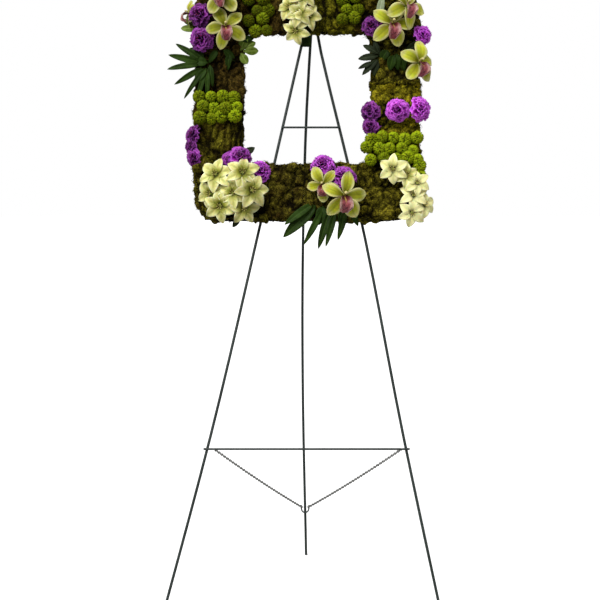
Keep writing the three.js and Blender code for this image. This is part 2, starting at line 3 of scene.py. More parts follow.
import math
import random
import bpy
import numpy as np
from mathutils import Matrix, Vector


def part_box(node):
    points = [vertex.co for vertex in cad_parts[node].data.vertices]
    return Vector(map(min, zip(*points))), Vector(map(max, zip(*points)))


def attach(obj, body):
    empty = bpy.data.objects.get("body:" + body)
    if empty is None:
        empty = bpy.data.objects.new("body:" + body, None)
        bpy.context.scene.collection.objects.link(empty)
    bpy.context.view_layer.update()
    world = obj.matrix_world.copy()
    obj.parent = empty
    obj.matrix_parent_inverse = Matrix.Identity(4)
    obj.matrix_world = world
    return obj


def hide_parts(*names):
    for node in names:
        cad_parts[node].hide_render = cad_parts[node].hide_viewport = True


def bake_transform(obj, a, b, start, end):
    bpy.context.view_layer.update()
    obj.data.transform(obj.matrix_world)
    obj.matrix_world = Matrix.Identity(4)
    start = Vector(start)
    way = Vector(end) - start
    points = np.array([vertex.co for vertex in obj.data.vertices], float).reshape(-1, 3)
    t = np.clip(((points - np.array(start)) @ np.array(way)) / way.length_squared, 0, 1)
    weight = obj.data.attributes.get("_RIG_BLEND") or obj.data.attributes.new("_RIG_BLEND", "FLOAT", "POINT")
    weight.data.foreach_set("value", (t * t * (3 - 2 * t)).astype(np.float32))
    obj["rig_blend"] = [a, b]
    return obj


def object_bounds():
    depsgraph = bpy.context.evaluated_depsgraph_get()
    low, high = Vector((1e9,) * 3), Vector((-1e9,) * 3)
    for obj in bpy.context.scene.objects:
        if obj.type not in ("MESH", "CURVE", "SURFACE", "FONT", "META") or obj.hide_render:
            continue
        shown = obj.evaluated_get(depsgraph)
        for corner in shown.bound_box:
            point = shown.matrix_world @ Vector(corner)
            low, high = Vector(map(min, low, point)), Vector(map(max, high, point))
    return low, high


bl_info = {
    "name": "Funeral wreath on an easel",
    "version": (1, 0, 0),
    "blender": (4, 5, 0),
    "location": "View3D > Sidebar > Wreath",
    "description": "Dresses the packed wreath and easel with moss, flowers, leaves, wire and chain",
    "category": "Object",
}

import bmesh
import bpy
from bpy.props import FloatProperty, FloatVectorProperty, IntProperty, PointerProperty
from bpy.types import Operator, Panel, PropertyGroup
from mathutils import Matrix, Vector, noise

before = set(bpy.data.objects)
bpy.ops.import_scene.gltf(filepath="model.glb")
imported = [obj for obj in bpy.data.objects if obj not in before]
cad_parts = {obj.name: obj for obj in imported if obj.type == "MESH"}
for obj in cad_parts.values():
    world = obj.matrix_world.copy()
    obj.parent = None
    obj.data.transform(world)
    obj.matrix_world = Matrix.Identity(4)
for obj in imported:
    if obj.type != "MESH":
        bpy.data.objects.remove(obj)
CAD_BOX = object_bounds()
MM = 0.001

# ---- The wreath's own frame ----------------------------------------------------------------
# X across, Y up the slope and Z out from the wreath's back, in metres. Places on the wreath are
# given in millimetres from its centre.

LEAN = math.radians(9)
BACKING_THICK = 4 * MM
HEAD_BASE = 53 * MM  # where flower heads start
FOAM_FACE = 40.6 * MM  # the top of the foam ring
BAR_MIDDLE = (210.5 * MM, 225.5 * MM)  # from the centre to the middle of the side and cross bars
FOAM_HALF = 50.3 * MM  # from a bar's middle line to the foam's sides


def middle_of(node):
    low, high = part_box(node)
    return (low + high) / 2


WREATH = (
    Matrix.Translation(middle_of("foam_backing"))
    @ Matrix.Rotation(math.pi / 2 - LEAN, 4, "X")
    @ Matrix.Translation((0, 0, -BACKING_THICK / 2))
)


def turn(degrees, axis):
    return Matrix.Rotation(math.radians(degrees), 4, axis)


def facing(direction, axis, up):
    """The rotation that points an axis along a direction and keeps another one up."""
    return direction.to_track_quat(axis, up).to_matrix().to_4x4()


def on_wreath(across, up, lift=0, nod_up=0, nod_right=0, spin=0):
    """A place on the mossed face for something that grows along Z. Nods and spin are in degrees."""
    return (
        WREATH
        @ Matrix.Translation((across * MM, up * MM, HEAD_BASE + lift * MM))
        @ turn(nod_right, "Y")
        @ turn(-nod_up, "X")
        @ turn(spin, "Z")
    )


# ---- Settings ------------------------------------------------------------------------------


def display(red, green, blue):
    """A colour as a screen shows it, from 0 to 255, as the linear colour that shaders take."""
    linear = [
        c / 12.92 if c <= 0.04045 else ((c + 0.055) / 1.055) ** 2.4
        for c in (value / 255 for value in (red, green, blue))
    ]
    return (*linear, 1.0)


def colour(name, description, *shown):
    return FloatVectorProperty(
        name=name, description=description, subtype="COLOR", size=4, min=0, max=1, default=display(*shown)
    )


def length(name, description, metres):
    return FloatProperty(name=name, description=description, default=metres, min=0, unit="LENGTH")


def share(name, description, value):
    return FloatProperty(name=name, description=description, default=value, min=0, max=1, subtype="FACTOR")


def count(name, description, value):
    return IntProperty(name=name, description=description, default=value, min=1)


class WreathWireSettings(PropertyGroup):
    paint: colour("Wire paint", "Colour of the easel's painted wire", 38, 46, 43)
    paint_light: colour("Worn paint", "Lighter colour of rubbed and dusty paint", 70, 80, 76)
    steel: colour("Chain steel", "Colour of the zinc plated chain", 146, 146, 142)
    link_wire: length("Link wire", "Thickness of the wire that the chain links are bent from", 0.0019)
    link_width: length("Link width", "Outside width of one chain link", 0.007)
    link_pitch: length("Link pitch", "Distance from one chain link to the next", 0.0085)


class WreathMossSettings(PropertyGroup):
    dark: colour("Dark moss", "Tips of the brown black moss", 124, 102, 42)
    olive: colour("Olive moss", "Tips of the olive moss", 156, 148, 42)
    ochre: colour("Ochre moss", "Tips of the yellow moss", 222, 204, 44)
    deep: colour("Deep moss", "Shaded roots of all the moss", 15, 11, 3)
    strand: length("Strand length", "Length of one curly moss strand", 0.009)
    tufts: count("Tufts", "Tufts on each square decimetre of moss", 230)
    lumps: length("Lumps", "How far the moss cushions stand over their creases", 0.01)
    cushion: length("Cushion", "Width of one moss cushion", 0.026)


class WreathFlowerSettings(PropertyGroup):
    # Carnation heart is painted shade deep in the flower, also the veins' colour; the edge colour is partly
    # the petals' own paler rim and partly painted highlight.
    purple_deep: colour("Carnation heart", "Deep purple inside a carnation", 44, 0, 50)
    purple: colour("Carnation", "Purple of a carnation's petals", 116, 12, 122)
    purple_edge: colour("Carnation edge", "Pale violet of the petal edges", 192, 96, 204)
    orchid: colour("Orchid", "Yellow green of an orchid's petals", 160, 164, 40)
    # Orchid heart is painted shade near the centre, also the midrib's and veins' green; the edge colour is
    # partly the petals' own cream rim and partly painted highlight.
    orchid_deep: colour("Orchid heart", "Green near an orchid's centre", 96, 98, 12)
    orchid_edge: colour("Orchid edge", "Cream edge of an orchid's petals", 226, 220, 156)
    lip: colour("Orchid lip", "Pink of an orchid's lip", 176, 88, 96)
    lip_dark: colour("Lip edge", "Maroon blotches on the lip", 78, 10, 20)
    cream: colour("Cream bloom", "Cream of the star blooms", 230, 223, 148)
    cream_deep: colour("Bloom throat", "Yellow green of a star bloom's throat", 122, 126, 12)
    lime: colour("Button mum", "Lime green of the button mums", 136, 152, 14)
    # Mum heart is painted shade: the dark green between the petals and on the core under them.
    lime_shade: colour("Mum heart", "Dark green between a button mum's petals", 42, 56, 3)
    carnation_ruffle: share("Carnation ruffle", "How strongly the petal edges wave", 0.6)
    mum_petals: count("Mum petals", "Petals on one button mum", 120)


class WreathLeafSettings(PropertyGroup):
    palm: colour("Palm leaf", "Dark green of the fingered leaves", 26, 42, 8)
    palm_vein: colour("Palm vein", "Paler green along the veins", 62, 88, 30)
    round_leaf: colour("Round leaf", "Green of the small round leaves", 72, 92, 18)
    shade_leaf: colour("Shade leaf", "Near black green of the shade leaves", 20, 27, 8)
    sage: colour("Sage leaf", "Pale grey green of the sage leaf", 132, 146, 108)


class WreathStageSettings(PropertyGroup):
    floor: colour("Floor", "Plain pale floor", 255, 255, 255)
    floor_bounce: share("Floor bounce", "How much light the floor throws back up at the wreath", 0.35)
    floor_glow: share("Floor glow", "How far the lit floor is lifted towards white", 0.3)
    sun: FloatProperty(name="Main light", description="Strength of the broad main light", default=3.1)
    sun_size: FloatProperty(name="Main light size", description="Angle that the main light fills",
                            subtype="ANGLE", default=math.radians(40))
    sky: share("Sky", "Brightness of the light from all round", 0.38)
    lens: FloatProperty(name="Lens", description="Focal length", default=91.2, unit="CAMERA")
    distance: length("Distance", "From the front feet to the camera", 3.488)
    height: length("Camera height", "Height of the camera over the floor", 1.05)


# ---- Shader nodes --------------------------------------------------------------------------


def feed(tree, node, inputs):
    """Sets a node's inputs, each to a value or from another node's socket."""
    for socket, value in inputs.items():
        if isinstance(value, bpy.types.NodeSocket):
            tree.links.new(value, node.inputs[socket])
        else:
            node.inputs[socket].default_value = value


def add_node(tree, kind, inputs=None, **settings):
    made = tree.nodes.new(kind)
    for key, value in settings.items():
        setattr(made, key, value)
    feed(tree, made, inputs or {})
    return made


def mix(tree, factor, first, second):
    inputs = {0: factor, 6: first, 7: second}
    return add_node(tree, "ShaderNodeMix", inputs, data_type="RGBA").outputs[2]


def maths(tree, operation, *values, clamp=False):
    inputs = dict(enumerate(values))
    return add_node(tree, "ShaderNodeMath", inputs, operation=operation, use_clamp=clamp).outputs[0]


def times(tree, first, second):
    return maths(tree, "MULTIPLY", first, second)


def remap(tree, value, low, high, to_low=0.0, to_high=1.0):
    inputs = {0: value, 1: low, 2: high, 3: to_low, 4: to_high}
    return add_node(tree, "ShaderNodeMapRange", inputs, interpolation_type="SMOOTHSTEP").outputs[0]


def cloud(tree, vector, scale, detail=3.0, roughness=0.6, distortion=0.0):
    """Soft noise as the node's outputs: Fac, one value, and Color, three."""
    inputs = {
        "Vector": vector, "Scale": scale, "Detail": detail, "Roughness": roughness, "Distortion": distortion
    }
    return add_node(tree, "ShaderNodeTexNoise", inputs).outputs


def speckle(tree, *noise_settings):
    return cloud(tree, *noise_settings)["Fac"]


def stretched(tree, vector, scale):
    return add_node(tree, "ShaderNodeMapping", {"Vector": vector, "Scale": scale}).outputs[0]


def attribute(tree, name):
    return add_node(tree, "ShaderNodeAttribute", attribute_name=name).outputs["Fac"]


def object_place(tree):
    return add_node(tree, "ShaderNodeTexCoord").outputs["Object"]


def petal_place(tree):
    """A place on a petal, how far it lies off the midrib, 0 to 1, and how far along, 0 to 1."""
    place = add_node(tree, "ShaderNodeUVMap", uv_map="petal").outputs[0]
    parts = add_node(tree, "ShaderNodeSeparateXYZ", {0: place})
    side = times(tree, maths(tree, "ABSOLUTE", maths(tree, "SUBTRACT", parts.outputs[0], 0.5)), 2.0)
    return place, side, parts.outputs[1]


def bump(tree, height, distance, strength):
    inputs = {"Height": height, "Distance": distance, "Strength": strength}
    return add_node(tree, "ShaderNodeBump", inputs).outputs[0]


def new_group(name, inputs, outputs):
    """An empty node group, with (name, kind, default) inputs and (name, kind) outputs."""
    group = bpy.data.node_groups.new(name, "ShaderNodeTree")
    for label, kind, default in inputs:
        group.interface.new_socket(label, in_out="INPUT", socket_type=kind).default_value = default
    for label, kind in outputs:
        group.interface.new_socket(label, in_out="OUTPUT", socket_type=kind)
    return group, group.nodes.new("NodeGroupInput").outputs, group.nodes.new("NodeGroupOutput")


def petal_veins_group():
    """Fine ribs that run from a petal's base to its tip."""
    group, given, result = new_group(
        "Petal veins",
        [("Place", "NodeSocketVector", (0, 0, 0)), ("Ribs", "NodeSocketFloat", 14.0)],
        [("Lines", "NodeSocketFloat"), ("Cells", "NodeSocketFloat")],
    )
    parts = add_node(group, "ShaderNodeSeparateXYZ", {0: given["Place"]})
    wander = speckle(group, stretched(group, given["Place"], (3, 5, 1)), 1.0, 2.0)
    across = maths(group, "ADD", parts.outputs[0], times(group, wander, 0.07))
    wave = maths(group, "SINE", times(group, across, times(group, given["Ribs"], 2 * math.pi)))
    cells = speckle(group, stretched(group, given["Place"], (26, 9, 1)), 1.0, 4.0, 0.7)
    feed(group, result, {"Lines": remap(group, wave, 0.2, 1.0), "Cells": cells})
    return group


def growth_tint_group():
    """Shifts a plant's colour from piece to piece and from place to place."""
    group, given, result = new_group(
        "Growth tint",
        [
            ("Color", "NodeSocketColor", (0.5, 0.5, 0.5, 1)),
            ("Other", "NodeSocketColor", (0.3, 0.3, 0.3, 1)),
            ("Place", "NodeSocketVector", (0, 0, 0)),
            ("Tint", "NodeSocketFloat", 0.5),
            ("Size", "NodeSocketFloat", 60.0),
            ("Dimmest", "NodeSocketFloat", 0.6),
            ("Brightest", "NodeSocketFloat", 1.4),
        ],
        [("Color", "NodeSocketColor")],
    )
    patch = remap(group, speckle(group, given["Place"], given["Size"], 3.0, 0.6), 0.35, 0.7)
    first = mix(group, patch, given["Color"], given["Other"])
    light = remap(group, given["Tint"], 0.0, 1.0, given["Dimmest"], given["Brightest"])
    scaled = add_node(group, "ShaderNodeVectorMath", {0: first, "Scale": light}, operation="SCALE")
    feed(group, result, {"Color": scaled.outputs[0]})
    return group


def worn_finish_group():
    """Where paint or plating is rubbed thin, and where dust has settled."""
    group, given, result = new_group(
        "Worn finish",
        [("Place", "NodeSocketVector", (0, 0, 0)), ("Amount", "NodeSocketFloat", 0.3)],
        [("Worn", "NodeSocketFloat"), ("Dust", "NodeSocketFloat"), ("Grain", "NodeSocketFloat")],
    )
    patches = speckle(group, given["Place"], 38.0, 5.0, 0.7)
    limit = maths(group, "SUBTRACT", 0.78, times(group, given["Amount"], 0.3))
    feed(group, result, {
        "Worn": remap(group, patches, limit, maths(group, "ADD", limit, 0.08)),
        "Dust": speckle(group, given["Place"], 9.0, 3.0, 0.5),
        "Grain": speckle(group, given["Place"], 900.0, 2.0, 0.6),
    })
    return group


GROUP_MAKERS = {
    "Petal veins": petal_veins_group,
    "Growth tint": growth_tint_group,
    "Worn finish": worn_finish_group,
}
GROUPS = {}


def place_group(tree, name, **inputs):
    """The outputs of a shared node group, which is made when it is first asked for."""
    if name not in GROUPS:
        GROUPS[name] = GROUP_MAKERS[name]()
    return add_node(tree, "ShaderNodeGroup", inputs, node_tree=GROUPS[name]).outputs


def growth_tint(tree, colour, other, size, dimmest=0.6, brightest=1.4):
    """The colour, drawn towards another in clouds and made lighter or darker by each piece's tint."""
    return place_group(
        tree, "Growth tint", Color=colour, Other=other, Place=object_place(tree),
        Tint=attribute(tree, "tint"), Size=size, Dimmest=dimmest, Brightest=brightest,
    )["Color"]


MATERIALS = {}


def new_material(name, **constants):
    """A new material's node tree. The constants are even values of its Principled node."""
    made = bpy.data.materials.new(name)
    made.use_nodes = True
    MATERIALS[name] = made
    tree = made.node_tree
    values = {socket.replace("_", " "): value for socket, value in constants.items()}
    feed(tree, tree.nodes["Principled BSDF"], values)
    return tree


def wear(tree, colour, roughness, normal):
    """Gives a material its colour, roughness and relief."""
    inputs = {"Base Color": colour, "Roughness": roughness, "Normal": normal}
    feed(tree, tree.nodes["Principled BSDF"], inputs)


# ---- Materials -----------------------------------------------------------------------------


def wire_materials(settings):
    tree = new_material("painted_wire", Specular_IOR_Level=0.35)
    finish = place_group(tree, "Worn finish", Place=object_place(tree), Amount=0.15)
    dusty = remap(tree, finish["Dust"], 0.3, 0.8, 0.0, 0.35)
    paint = mix(tree, dusty, settings.paint, settings.paint_light)
    worn = mix(tree, times(tree, finish["Worn"], 0.5), paint, settings.paint_light)
    roughness = remap(tree, finish["Dust"], 0.2, 0.8, 0.3, 0.5)
    wear(tree, worn, roughness, bump(tree, finish["Grain"], 0.0002, 0.5))
    tree = new_material("chain_steel", Metallic=0.85)
    finish = place_group(tree, "Worn finish", Place=object_place(tree), Amount=0.6)
    steel = mix(tree, times(tree, finish["Worn"], 0.7), settings.steel, settings.paint)
    roughness = remap(tree, finish["Dust"], 0.2, 0.8, 0.32, 0.55)
    wear(tree, steel, roughness, bump(tree, finish["Grain"], 0.0002, 0.4))


def base_materials():
    tree = new_material("wreath_backing", Specular_IOR_Level=0.4)
    place = object_place(tree)
    shade = remap(tree, speckle(tree, place, 14.0, 4.0), 0.3, 0.75)
    green = mix(tree, shade, display(38, 58, 34), display(58, 80, 50))
    roughness = remap(tree, speckle(tree, place, 60.0), 0.3, 0.7, 0.45, 0.7)
    wear(tree, green, roughness, bump(tree, speckle(tree, place, 700.0, 2.0), 0.0003, 0.5))
    tree = new_material("floral_foam", Specular_IOR_Level=0.02)
    place = object_place(tree)
    pores = add_node(tree, "ShaderNodeTexVoronoi", {"Vector": place, "Scale": 900.0}).outputs[0]
    patch = speckle(tree, place, 30.0, 4.0)
    damp = mix(tree, remap(tree, patch, 0.35, 0.7), display(22, 32, 12), display(44, 60, 26))
    foam = mix(tree, times(tree, remap(tree, pores, 0.1, 0.6), 0.4), damp, display(18, 26, 12))
    wear(tree, foam, remap(tree, patch, 0.3, 0.7, 0.85, 1.0), bump(tree, pores, 0.0008, 0.8))


def moss_material(name, tips, other, reach, deep):
    """Moss with painted shade: dark at its roots and in its creases, and mottled from place to place.

    reach is how far up the moss its tip colour is full."""
    tree = new_material(name, Specular_IOR_Level=0.04)
    place = object_place(tree)
    # Painted shade: rise times open darkens the moss towards its roots and into the cushions' creases.
    height = times(tree, attribute(tree, "rise"), attribute(tree, "open"))
    tinted = growth_tint(tree, tips, other, 36.0, 0.55, 1.7)
    wander = {0: cloud(tree, place, 140.0, 2.0, 0.5)["Color"], 1: (0.009, 0.009, 0.009), 2: place}
    strayed = add_node(tree, "ShaderNodeVectorMath", wander, operation="MULTIPLY_ADD").outputs[0]
    scales = add_node(tree, "ShaderNodeTexVoronoi", {"Vector": strayed, "Scale": 340.0}).outputs
    leaflets = remap(tree, scales["Distance"], 0.1, 0.6, 1.25, 0.4)
    varied = times(tree, leaflets, remap(tree, scales["Color"], 0.0, 1.0, 0.65, 1.35))
    clumps = speckle(tree, place, 150.0, 3.0, 0.65, 0.6)
    mottled = times(tree, remap(tree, clumps, 0.36, 0.62, 0.35, 1.25), varied)
    lit = maths(tree, "MULTIPLY", remap(tree, height, 0.0, reach), mottled, clamp=True)
    relief = maths(tree, "ADD", leaflets, times(tree, clumps, 2.0))
    roughness = remap(tree, clumps, 0.3, 0.7, 0.8, 1.0)
    wear(tree, mix(tree, lit, deep, tinted), roughness, bump(tree, relief, 0.0016, 0.9))


def moss_materials(settings):
    kinds = {
        # the tips' colour, the colour that they vary towards, and reach
        "moss_dark": (settings.dark, display(70, 50, 20), 0.42),
        "moss_olive": (settings.olive, display(92, 74, 22), 0.46),
        "moss_mixed": (display(140, 130, 42), display(86, 66, 24), 0.42),
        "moss_gold": (display(184, 170, 50), display(104, 98, 24), 0.42),
        "moss_green": (display(180, 172, 40), display(104, 104, 20), 0.36),
        "moss_yellow": (settings.ochre, display(146, 140, 30), 0.28),
    }
    for name, kind in kinds.items():
        moss_material(name, *kind, settings.deep)


def carnation_material(settings):
    tree = new_material(
        "carnation_petal", Specular_IOR_Level=0.12, Sheen_Weight=0.05, Sheen_Roughness=0.5,
        Subsurface_Weight=0.1, Subsurface_Scale=0.002,
    )
    place, _, along = petal_place(tree)
    veins = place_group(tree, "Petal veins", Place=place, Ribs=11.0)
    # Painted shade: the petals darken to the deep purple towards their bases.
    body = mix(tree, remap(tree, along, 0.2, 0.85), settings.purple_deep, settings.purple)
    # Partly painted highlight: the petal tips pale towards violet.
    edged = mix(tree, remap(tree, along, 0.8, 1.0, 0.0, 0.85), body, settings.purple_edge)
    tinted = growth_tint(tree, edged, mix(tree, 0.35, edged, settings.purple_deep), 110.0, 0.35, 2.6)
    veined = mix(tree, times(tree, veins["Lines"], 0.22), tinted, settings.purple_deep)
    roughness = remap(tree, veins["Cells"], 0.2, 0.8, 0.5, 0.8)
    wear(tree, veined, roughness, bump(tree, veins["Cells"], 0.0006, 0.6))


def orchid_petal_material(settings):
    tree = new_material(
        "orchid_petal", Specular_IOR_Level=0.12, Subsurface_Weight=0.12, Subsurface_Scale=0.002,
        Coat_Weight=0.03, Coat_Roughness=0.35,
    )
    place, side, along = petal_place(tree)
    veins = place_group(tree, "Petal veins", Place=place, Ribs=12.0)
    # Partly painted highlight: the rim and tip pale towards cream.
    rim = maths(tree, "MAXIMUM", remap(tree, side, 0.45, 1.0), remap(tree, along, 0.68, 1.0))
    # Painted shade: the petals darken towards the flower's centre.
    body = mix(tree, remap(tree, along, 0.05, 0.85), settings.orchid_deep, settings.orchid)
    ribbed = mix(tree, remap(tree, side, 0.0, 0.2, 0.4, 0.0), body, settings.orchid_deep)
    tinted = growth_tint(tree, ribbed, mix(tree, 0.4, ribbed, settings.orchid_deep), 70.0, 0.65, 2.1)
    edged = mix(tree, times(tree, rim, 0.8), tinted, settings.orchid_edge)
    veined = mix(tree, times(tree, veins["Lines"], 0.1), edged, settings.orchid_deep)
    roughness = remap(tree, veins["Cells"], 0.2, 0.8, 0.38, 0.58)
    wear(tree, veined, roughness, bump(tree, veins["Lines"], 0.0004, 0.5))


def orchid_lip_material(settings):
    tree = new_material(
        "orchid_lip", Specular_IOR_Level=0.45, Subsurface_Weight=0.15, Subsurface_Scale=0.002
    )
    place, side, along = petal_place(tree)
    blotches = speckle(tree, stretched(tree, place, (9, 7, 1)), 1.0, 3.0, 0.7, 0.6)
    throat = remap(tree, along, 0.3, 0.72, 0.95, 0.1)
    maroon = maths(tree, "MAXIMUM", throat, remap(tree, blotches, 0.46, 0.6, 0.0, 0.85))
    pink = mix(tree, remap(tree, side, 0.35, 0.95), settings.lip, display(226, 184, 168))
    blotched = mix(tree, maroon, pink, settings.lip_dark)
    ridge = times(tree, remap(tree, side, 0.0, 0.18, 0.8, 0.0), remap(tree, along, 0.2, 0.7, 1.0, 0.0))
    ridged = mix(tree, ridge, blotched, display(226, 200, 90))
    dots = remap(tree, speckle(tree, stretched(tree, place, (22, 20, 1)), 1.0, 2.0), 0.55, 0.68, 0.0, 0.7)
    roughness = remap(tree, blotches, 0.2, 0.8, 0.35, 0.6)
    wear(tree, mix(tree, dots, ridged, settings.lip_dark), roughness, bump(tree, blotches, 0.0006, 0.5))


def orchid_column_material(settings):
    tree = new_material("orchid_column", Specular_IOR_Level=0.45)
    spots = speckle(tree, object_place(tree), 420.0, 3.0)
    body = mix(tree, attribute(tree, "rise"), display(160, 160, 70), display(222, 208, 140))
    spotted = mix(tree, remap(tree, spots, 0.5, 0.68, 0.0, 0.6), body, settings.lip_dark)
    roughness = remap(tree, spots, 0.2, 0.8, 0.35, 0.55)
    wear(tree, spotted, roughness, bump(tree, spots, 0.0003, 0.4))


def cream_material(settings):
    tree = new_material(
        "cream_petal", Specular_IOR_Level=0.2, Subsurface_Weight=0.12, Subsurface_Scale=0.002
    )
    place, side, along = petal_place(tree)
    veins = place_group(tree, "Petal veins", Place=place, Ribs=8.0)
    throat = remap(tree, along, 0.25, 0.68, 1.0, 0.0)
    stripe = times(tree, remap(tree, side, 0.0, 0.5, 0.75, 0.0), remap(tree, along, 0.97, 0.5, 0.0, 1.0))
    green = times(tree, maths(tree, "MAXIMUM", throat, stripe), 0.9)
    # Partly painted highlight: the petals' rims pale towards near white.
    rim = times(tree, remap(tree, side, 0.45, 0.95), remap(tree, along, 0.3, 0.6, 0.0, 0.8))
    open_colour = mix(tree, rim, settings.cream, display(248, 243, 196))
    body = mix(tree, green, open_colour, settings.cream_deep)
    tinted = growth_tint(tree, body, mix(tree, 0.4, body, settings.cream_deep), 60.0, 0.5, 1.8)
    paleness = remap(tree, attribute(tree, "tint"), 0.6, 1.0, 0.0, 0.75)
    pale = mix(tree, paleness, tinted, display(250, 244, 184))
    # Painted shade: the petals darken to near black at their bases, down in the throat.
    dark = mix(tree, remap(tree, along, 0.08, 0.36, 0.95, 0.0), pale, display(30, 32, 4))
    veined = mix(tree, times(tree, veins["Lines"], 0.12), dark, settings.cream_deep)
    roughness = remap(tree, veins["Cells"], 0.2, 0.8, 0.45, 0.65)
    wear(tree, veined, roughness, bump(tree, veins["Lines"], 0.0005, 0.5))


def plant_material(name, root, tip, other, roughness=(0.45, 0.7), **constants):
    """For small solid growths: one colour at the root, another at the tip."""
    tree = new_material(name, **constants)
    body = mix(tree, attribute(tree, "rise"), root, tip)
    tinted = growth_tint(tree, body, mix(tree, 0.5, body, other), 60.0, 0.5, 2.0)
    grain = speckle(tree, object_place(tree), 600.0, 3.0)
    wear(tree, tinted, remap(tree, grain, 0.2, 0.8, *roughness), bump(tree, grain, 0.0004, 0.4))


def leaf_material(name, blade, vein):
    """A leaf blade with a midrib, side veins and a paler rim."""
    tree = new_material(name, Specular_IOR_Level=0.05)
    place, side, along = petal_place(tree)
    midrib = remap(tree, side, 0.02, 0.14, 1.0, 0.0)
    slant = maths(tree, "SUBTRACT", times(tree, along, 14.0), times(tree, side, 2.2))
    ribs = remap(tree, maths(tree, "SINE", times(tree, slant, 2 * math.pi)), 0.6, 1.0)
    veins = maths(tree, "MAXIMUM", midrib, times(tree, ribs, 0.45))
    tinted = growth_tint(tree, blade, mix(tree, 0.35, blade, vein), 55.0)
    pale = maths(tree, "MAXIMUM", times(tree, veins, 0.6), remap(tree, side, 0.86, 1.0, 0.0, 0.35))
    roughness = remap(tree, speckle(tree, place, 24.0), 0.3, 0.7, 0.4, 0.6)
    wear(tree, mix(tree, pale, tinted, vein), roughness, bump(tree, veins, 0.0008, -0.6))


# ---- Meshes --------------------------------------------------------------------------------


def clamped(value):
    return min(max(value, 0), 1)


def tag(bm, **values):
    """Writes an even number to every point of a mesh, such as its tint."""
    for name, value in values.items():
        layer = bm.verts.layers.float.get(name) or bm.verts.layers.float.new(name)
        for vert in bm.verts:
            vert[layer] = value


def smooth(bm, material=0):
    for face in bm.faces:
        face.material_index = material
        face.smooth = True


def as_mesh(bm, name="template"):
    mesh = bpy.data.meshes.new(name)
    bm.to_mesh(mesh)
    bm.free()
    return mesh


def closed_mesh(bm, material=0, **values):
    """A closed body as a smooth mesh of one material, with even values such as its tint."""
    bmesh.ops.recalc_face_normals(bm, faces=bm.faces[:])
    smooth(bm, material)
    tag(bm, **values)
    return as_mesh(bm)


def merge_into(bm, mesh, matrix=None):
    if matrix is not None:
        mesh.transform(matrix)
    bm.from_mesh(mesh)
    bpy.data.meshes.remove(mesh)


def add_copy(bm, template, matrix, **values):
    """Adds a placed copy of a template mesh, with its own even values such as its tint."""
    copy = template.copy()
    for name, value in values.items():
        copy.attributes[name].data.foreach_set("value", [value] * len(copy.vertices))
    merge_into(bm, copy, matrix)


def petal(across, along, shape, thick, tint=0.5, material=0):
    """A thin closed petal. shape takes -1 to 1 across and 0 to 1 along and gives a place."""
    bm = bmesh.new()
    bm.loops.layers.uv.new("petal")
    bmesh.ops.create_grid(bm, x_segments=across, y_segments=along, size=1.0, calc_uvs=True)
    for vert in bm.verts:
        vert.co = shape(vert.co.x, (vert.co.y + 1) / 2)
    bmesh.ops.solidify(bm, geom=bm.faces[:], thickness=thick)
    return closed_mesh(bm, material, tint=tint, rise=1.0)


def bud(radius, matrix, segments=8, rings=6, tint=0.5, material=0):
    """A small round body, squeezed and placed by its matrix."""
    bm = bmesh.new()
    bm.loops.layers.uv.new("petal")
    bmesh.ops.create_uvsphere(bm, u_segments=segments, v_segments=rings, radius=radius, calc_uvs=True)
    bm.transform(matrix)
    return closed_mesh(bm, material, tint=tint, rise=1.0)


def stalk(points, radii, sides, material):
    """A round stalk: rings set square to a path and bridged, closed at both ends."""
    bm = bmesh.new()
    bm.loops.layers.uv.new("petal")
    rise = bm.verts.layers.float.new("rise")
    rings = []
    last = len(points) - 1
    for i, (point, radius) in enumerate(zip(points, radii)):
        ahead = points[min(i + 1, last)] - points[max(i - 1, 0)]
        matrix = Matrix.Translation(point) @ facing(ahead, "Z", "Y")
        ends = i in (0, last)
        made = bmesh.ops.create_circle(bm, cap_ends=ends, segments=sides, radius=radius, matrix=matrix)
        for vert in made["verts"]:
            vert[rise] = i / last
        rings.append({edge for vert in made["verts"] for edge in vert.link_edges})
    for low, high in zip(rings, rings[1:]):
        bmesh.ops.bridge_loops(bm, edges=list(low | high))
    return closed_mesh(bm, material, tint=0.5)


def upright_stalk(profile, sides, material):
    """A straight stalk along Z. profile holds each ring's height and radius in millimetres."""
    points = [Vector((0, 0, height * MM)) for height, _ in profile]
    return stalk(points, [radius * MM for _, radius in profile], sides, material)


def finish_piece(name, bm, materials, body="front_frame", nodes=()):
    """Makes the piece's object, at the origin, and ties it to the frame."""
    mesh = as_mesh(bm, name)
    for material in materials:
        mesh.materials.append(MATERIALS[material])
    piece = bpy.data.objects.new(name, mesh)
    bpy.context.scene.collection.objects.link(piece)
    if body:
        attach(piece, body)
    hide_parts(*nodes)
    return piece


def cad_copy(node):
    """A CAD node's shape with its loose triangles joined."""
    bm = bmesh.new()
    bm.from_mesh(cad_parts[node].data)
    bmesh.ops.remove_doubles(bm, verts=bm.verts, dist=0.01 * MM)
    for layer in list(bm.loops.layers.uv):
        bm.loops.layers.uv.remove(layer)
    return bm


def remeshed(bm, voxel):
    """The same closed shape as an even net of small faces."""
    holder = bpy.data.objects.new("remesh", as_mesh(bm))
    bpy.context.scene.collection.objects.link(holder)
    net = holder.modifiers.new("net", "REMESH")
    net.mode = "VOXEL"
    net.voxel_size = voxel
    graph = bpy.context.evaluated_depsgraph_get()
    made = bmesh.new()
    made.from_mesh(holder.evaluated_get(graph).data)
    mesh = holder.data
    bpy.data.objects.remove(holder)
    bpy.data.meshes.remove(mesh)
    return made


# ---- Easel ---------------------------------------------------------------------------------

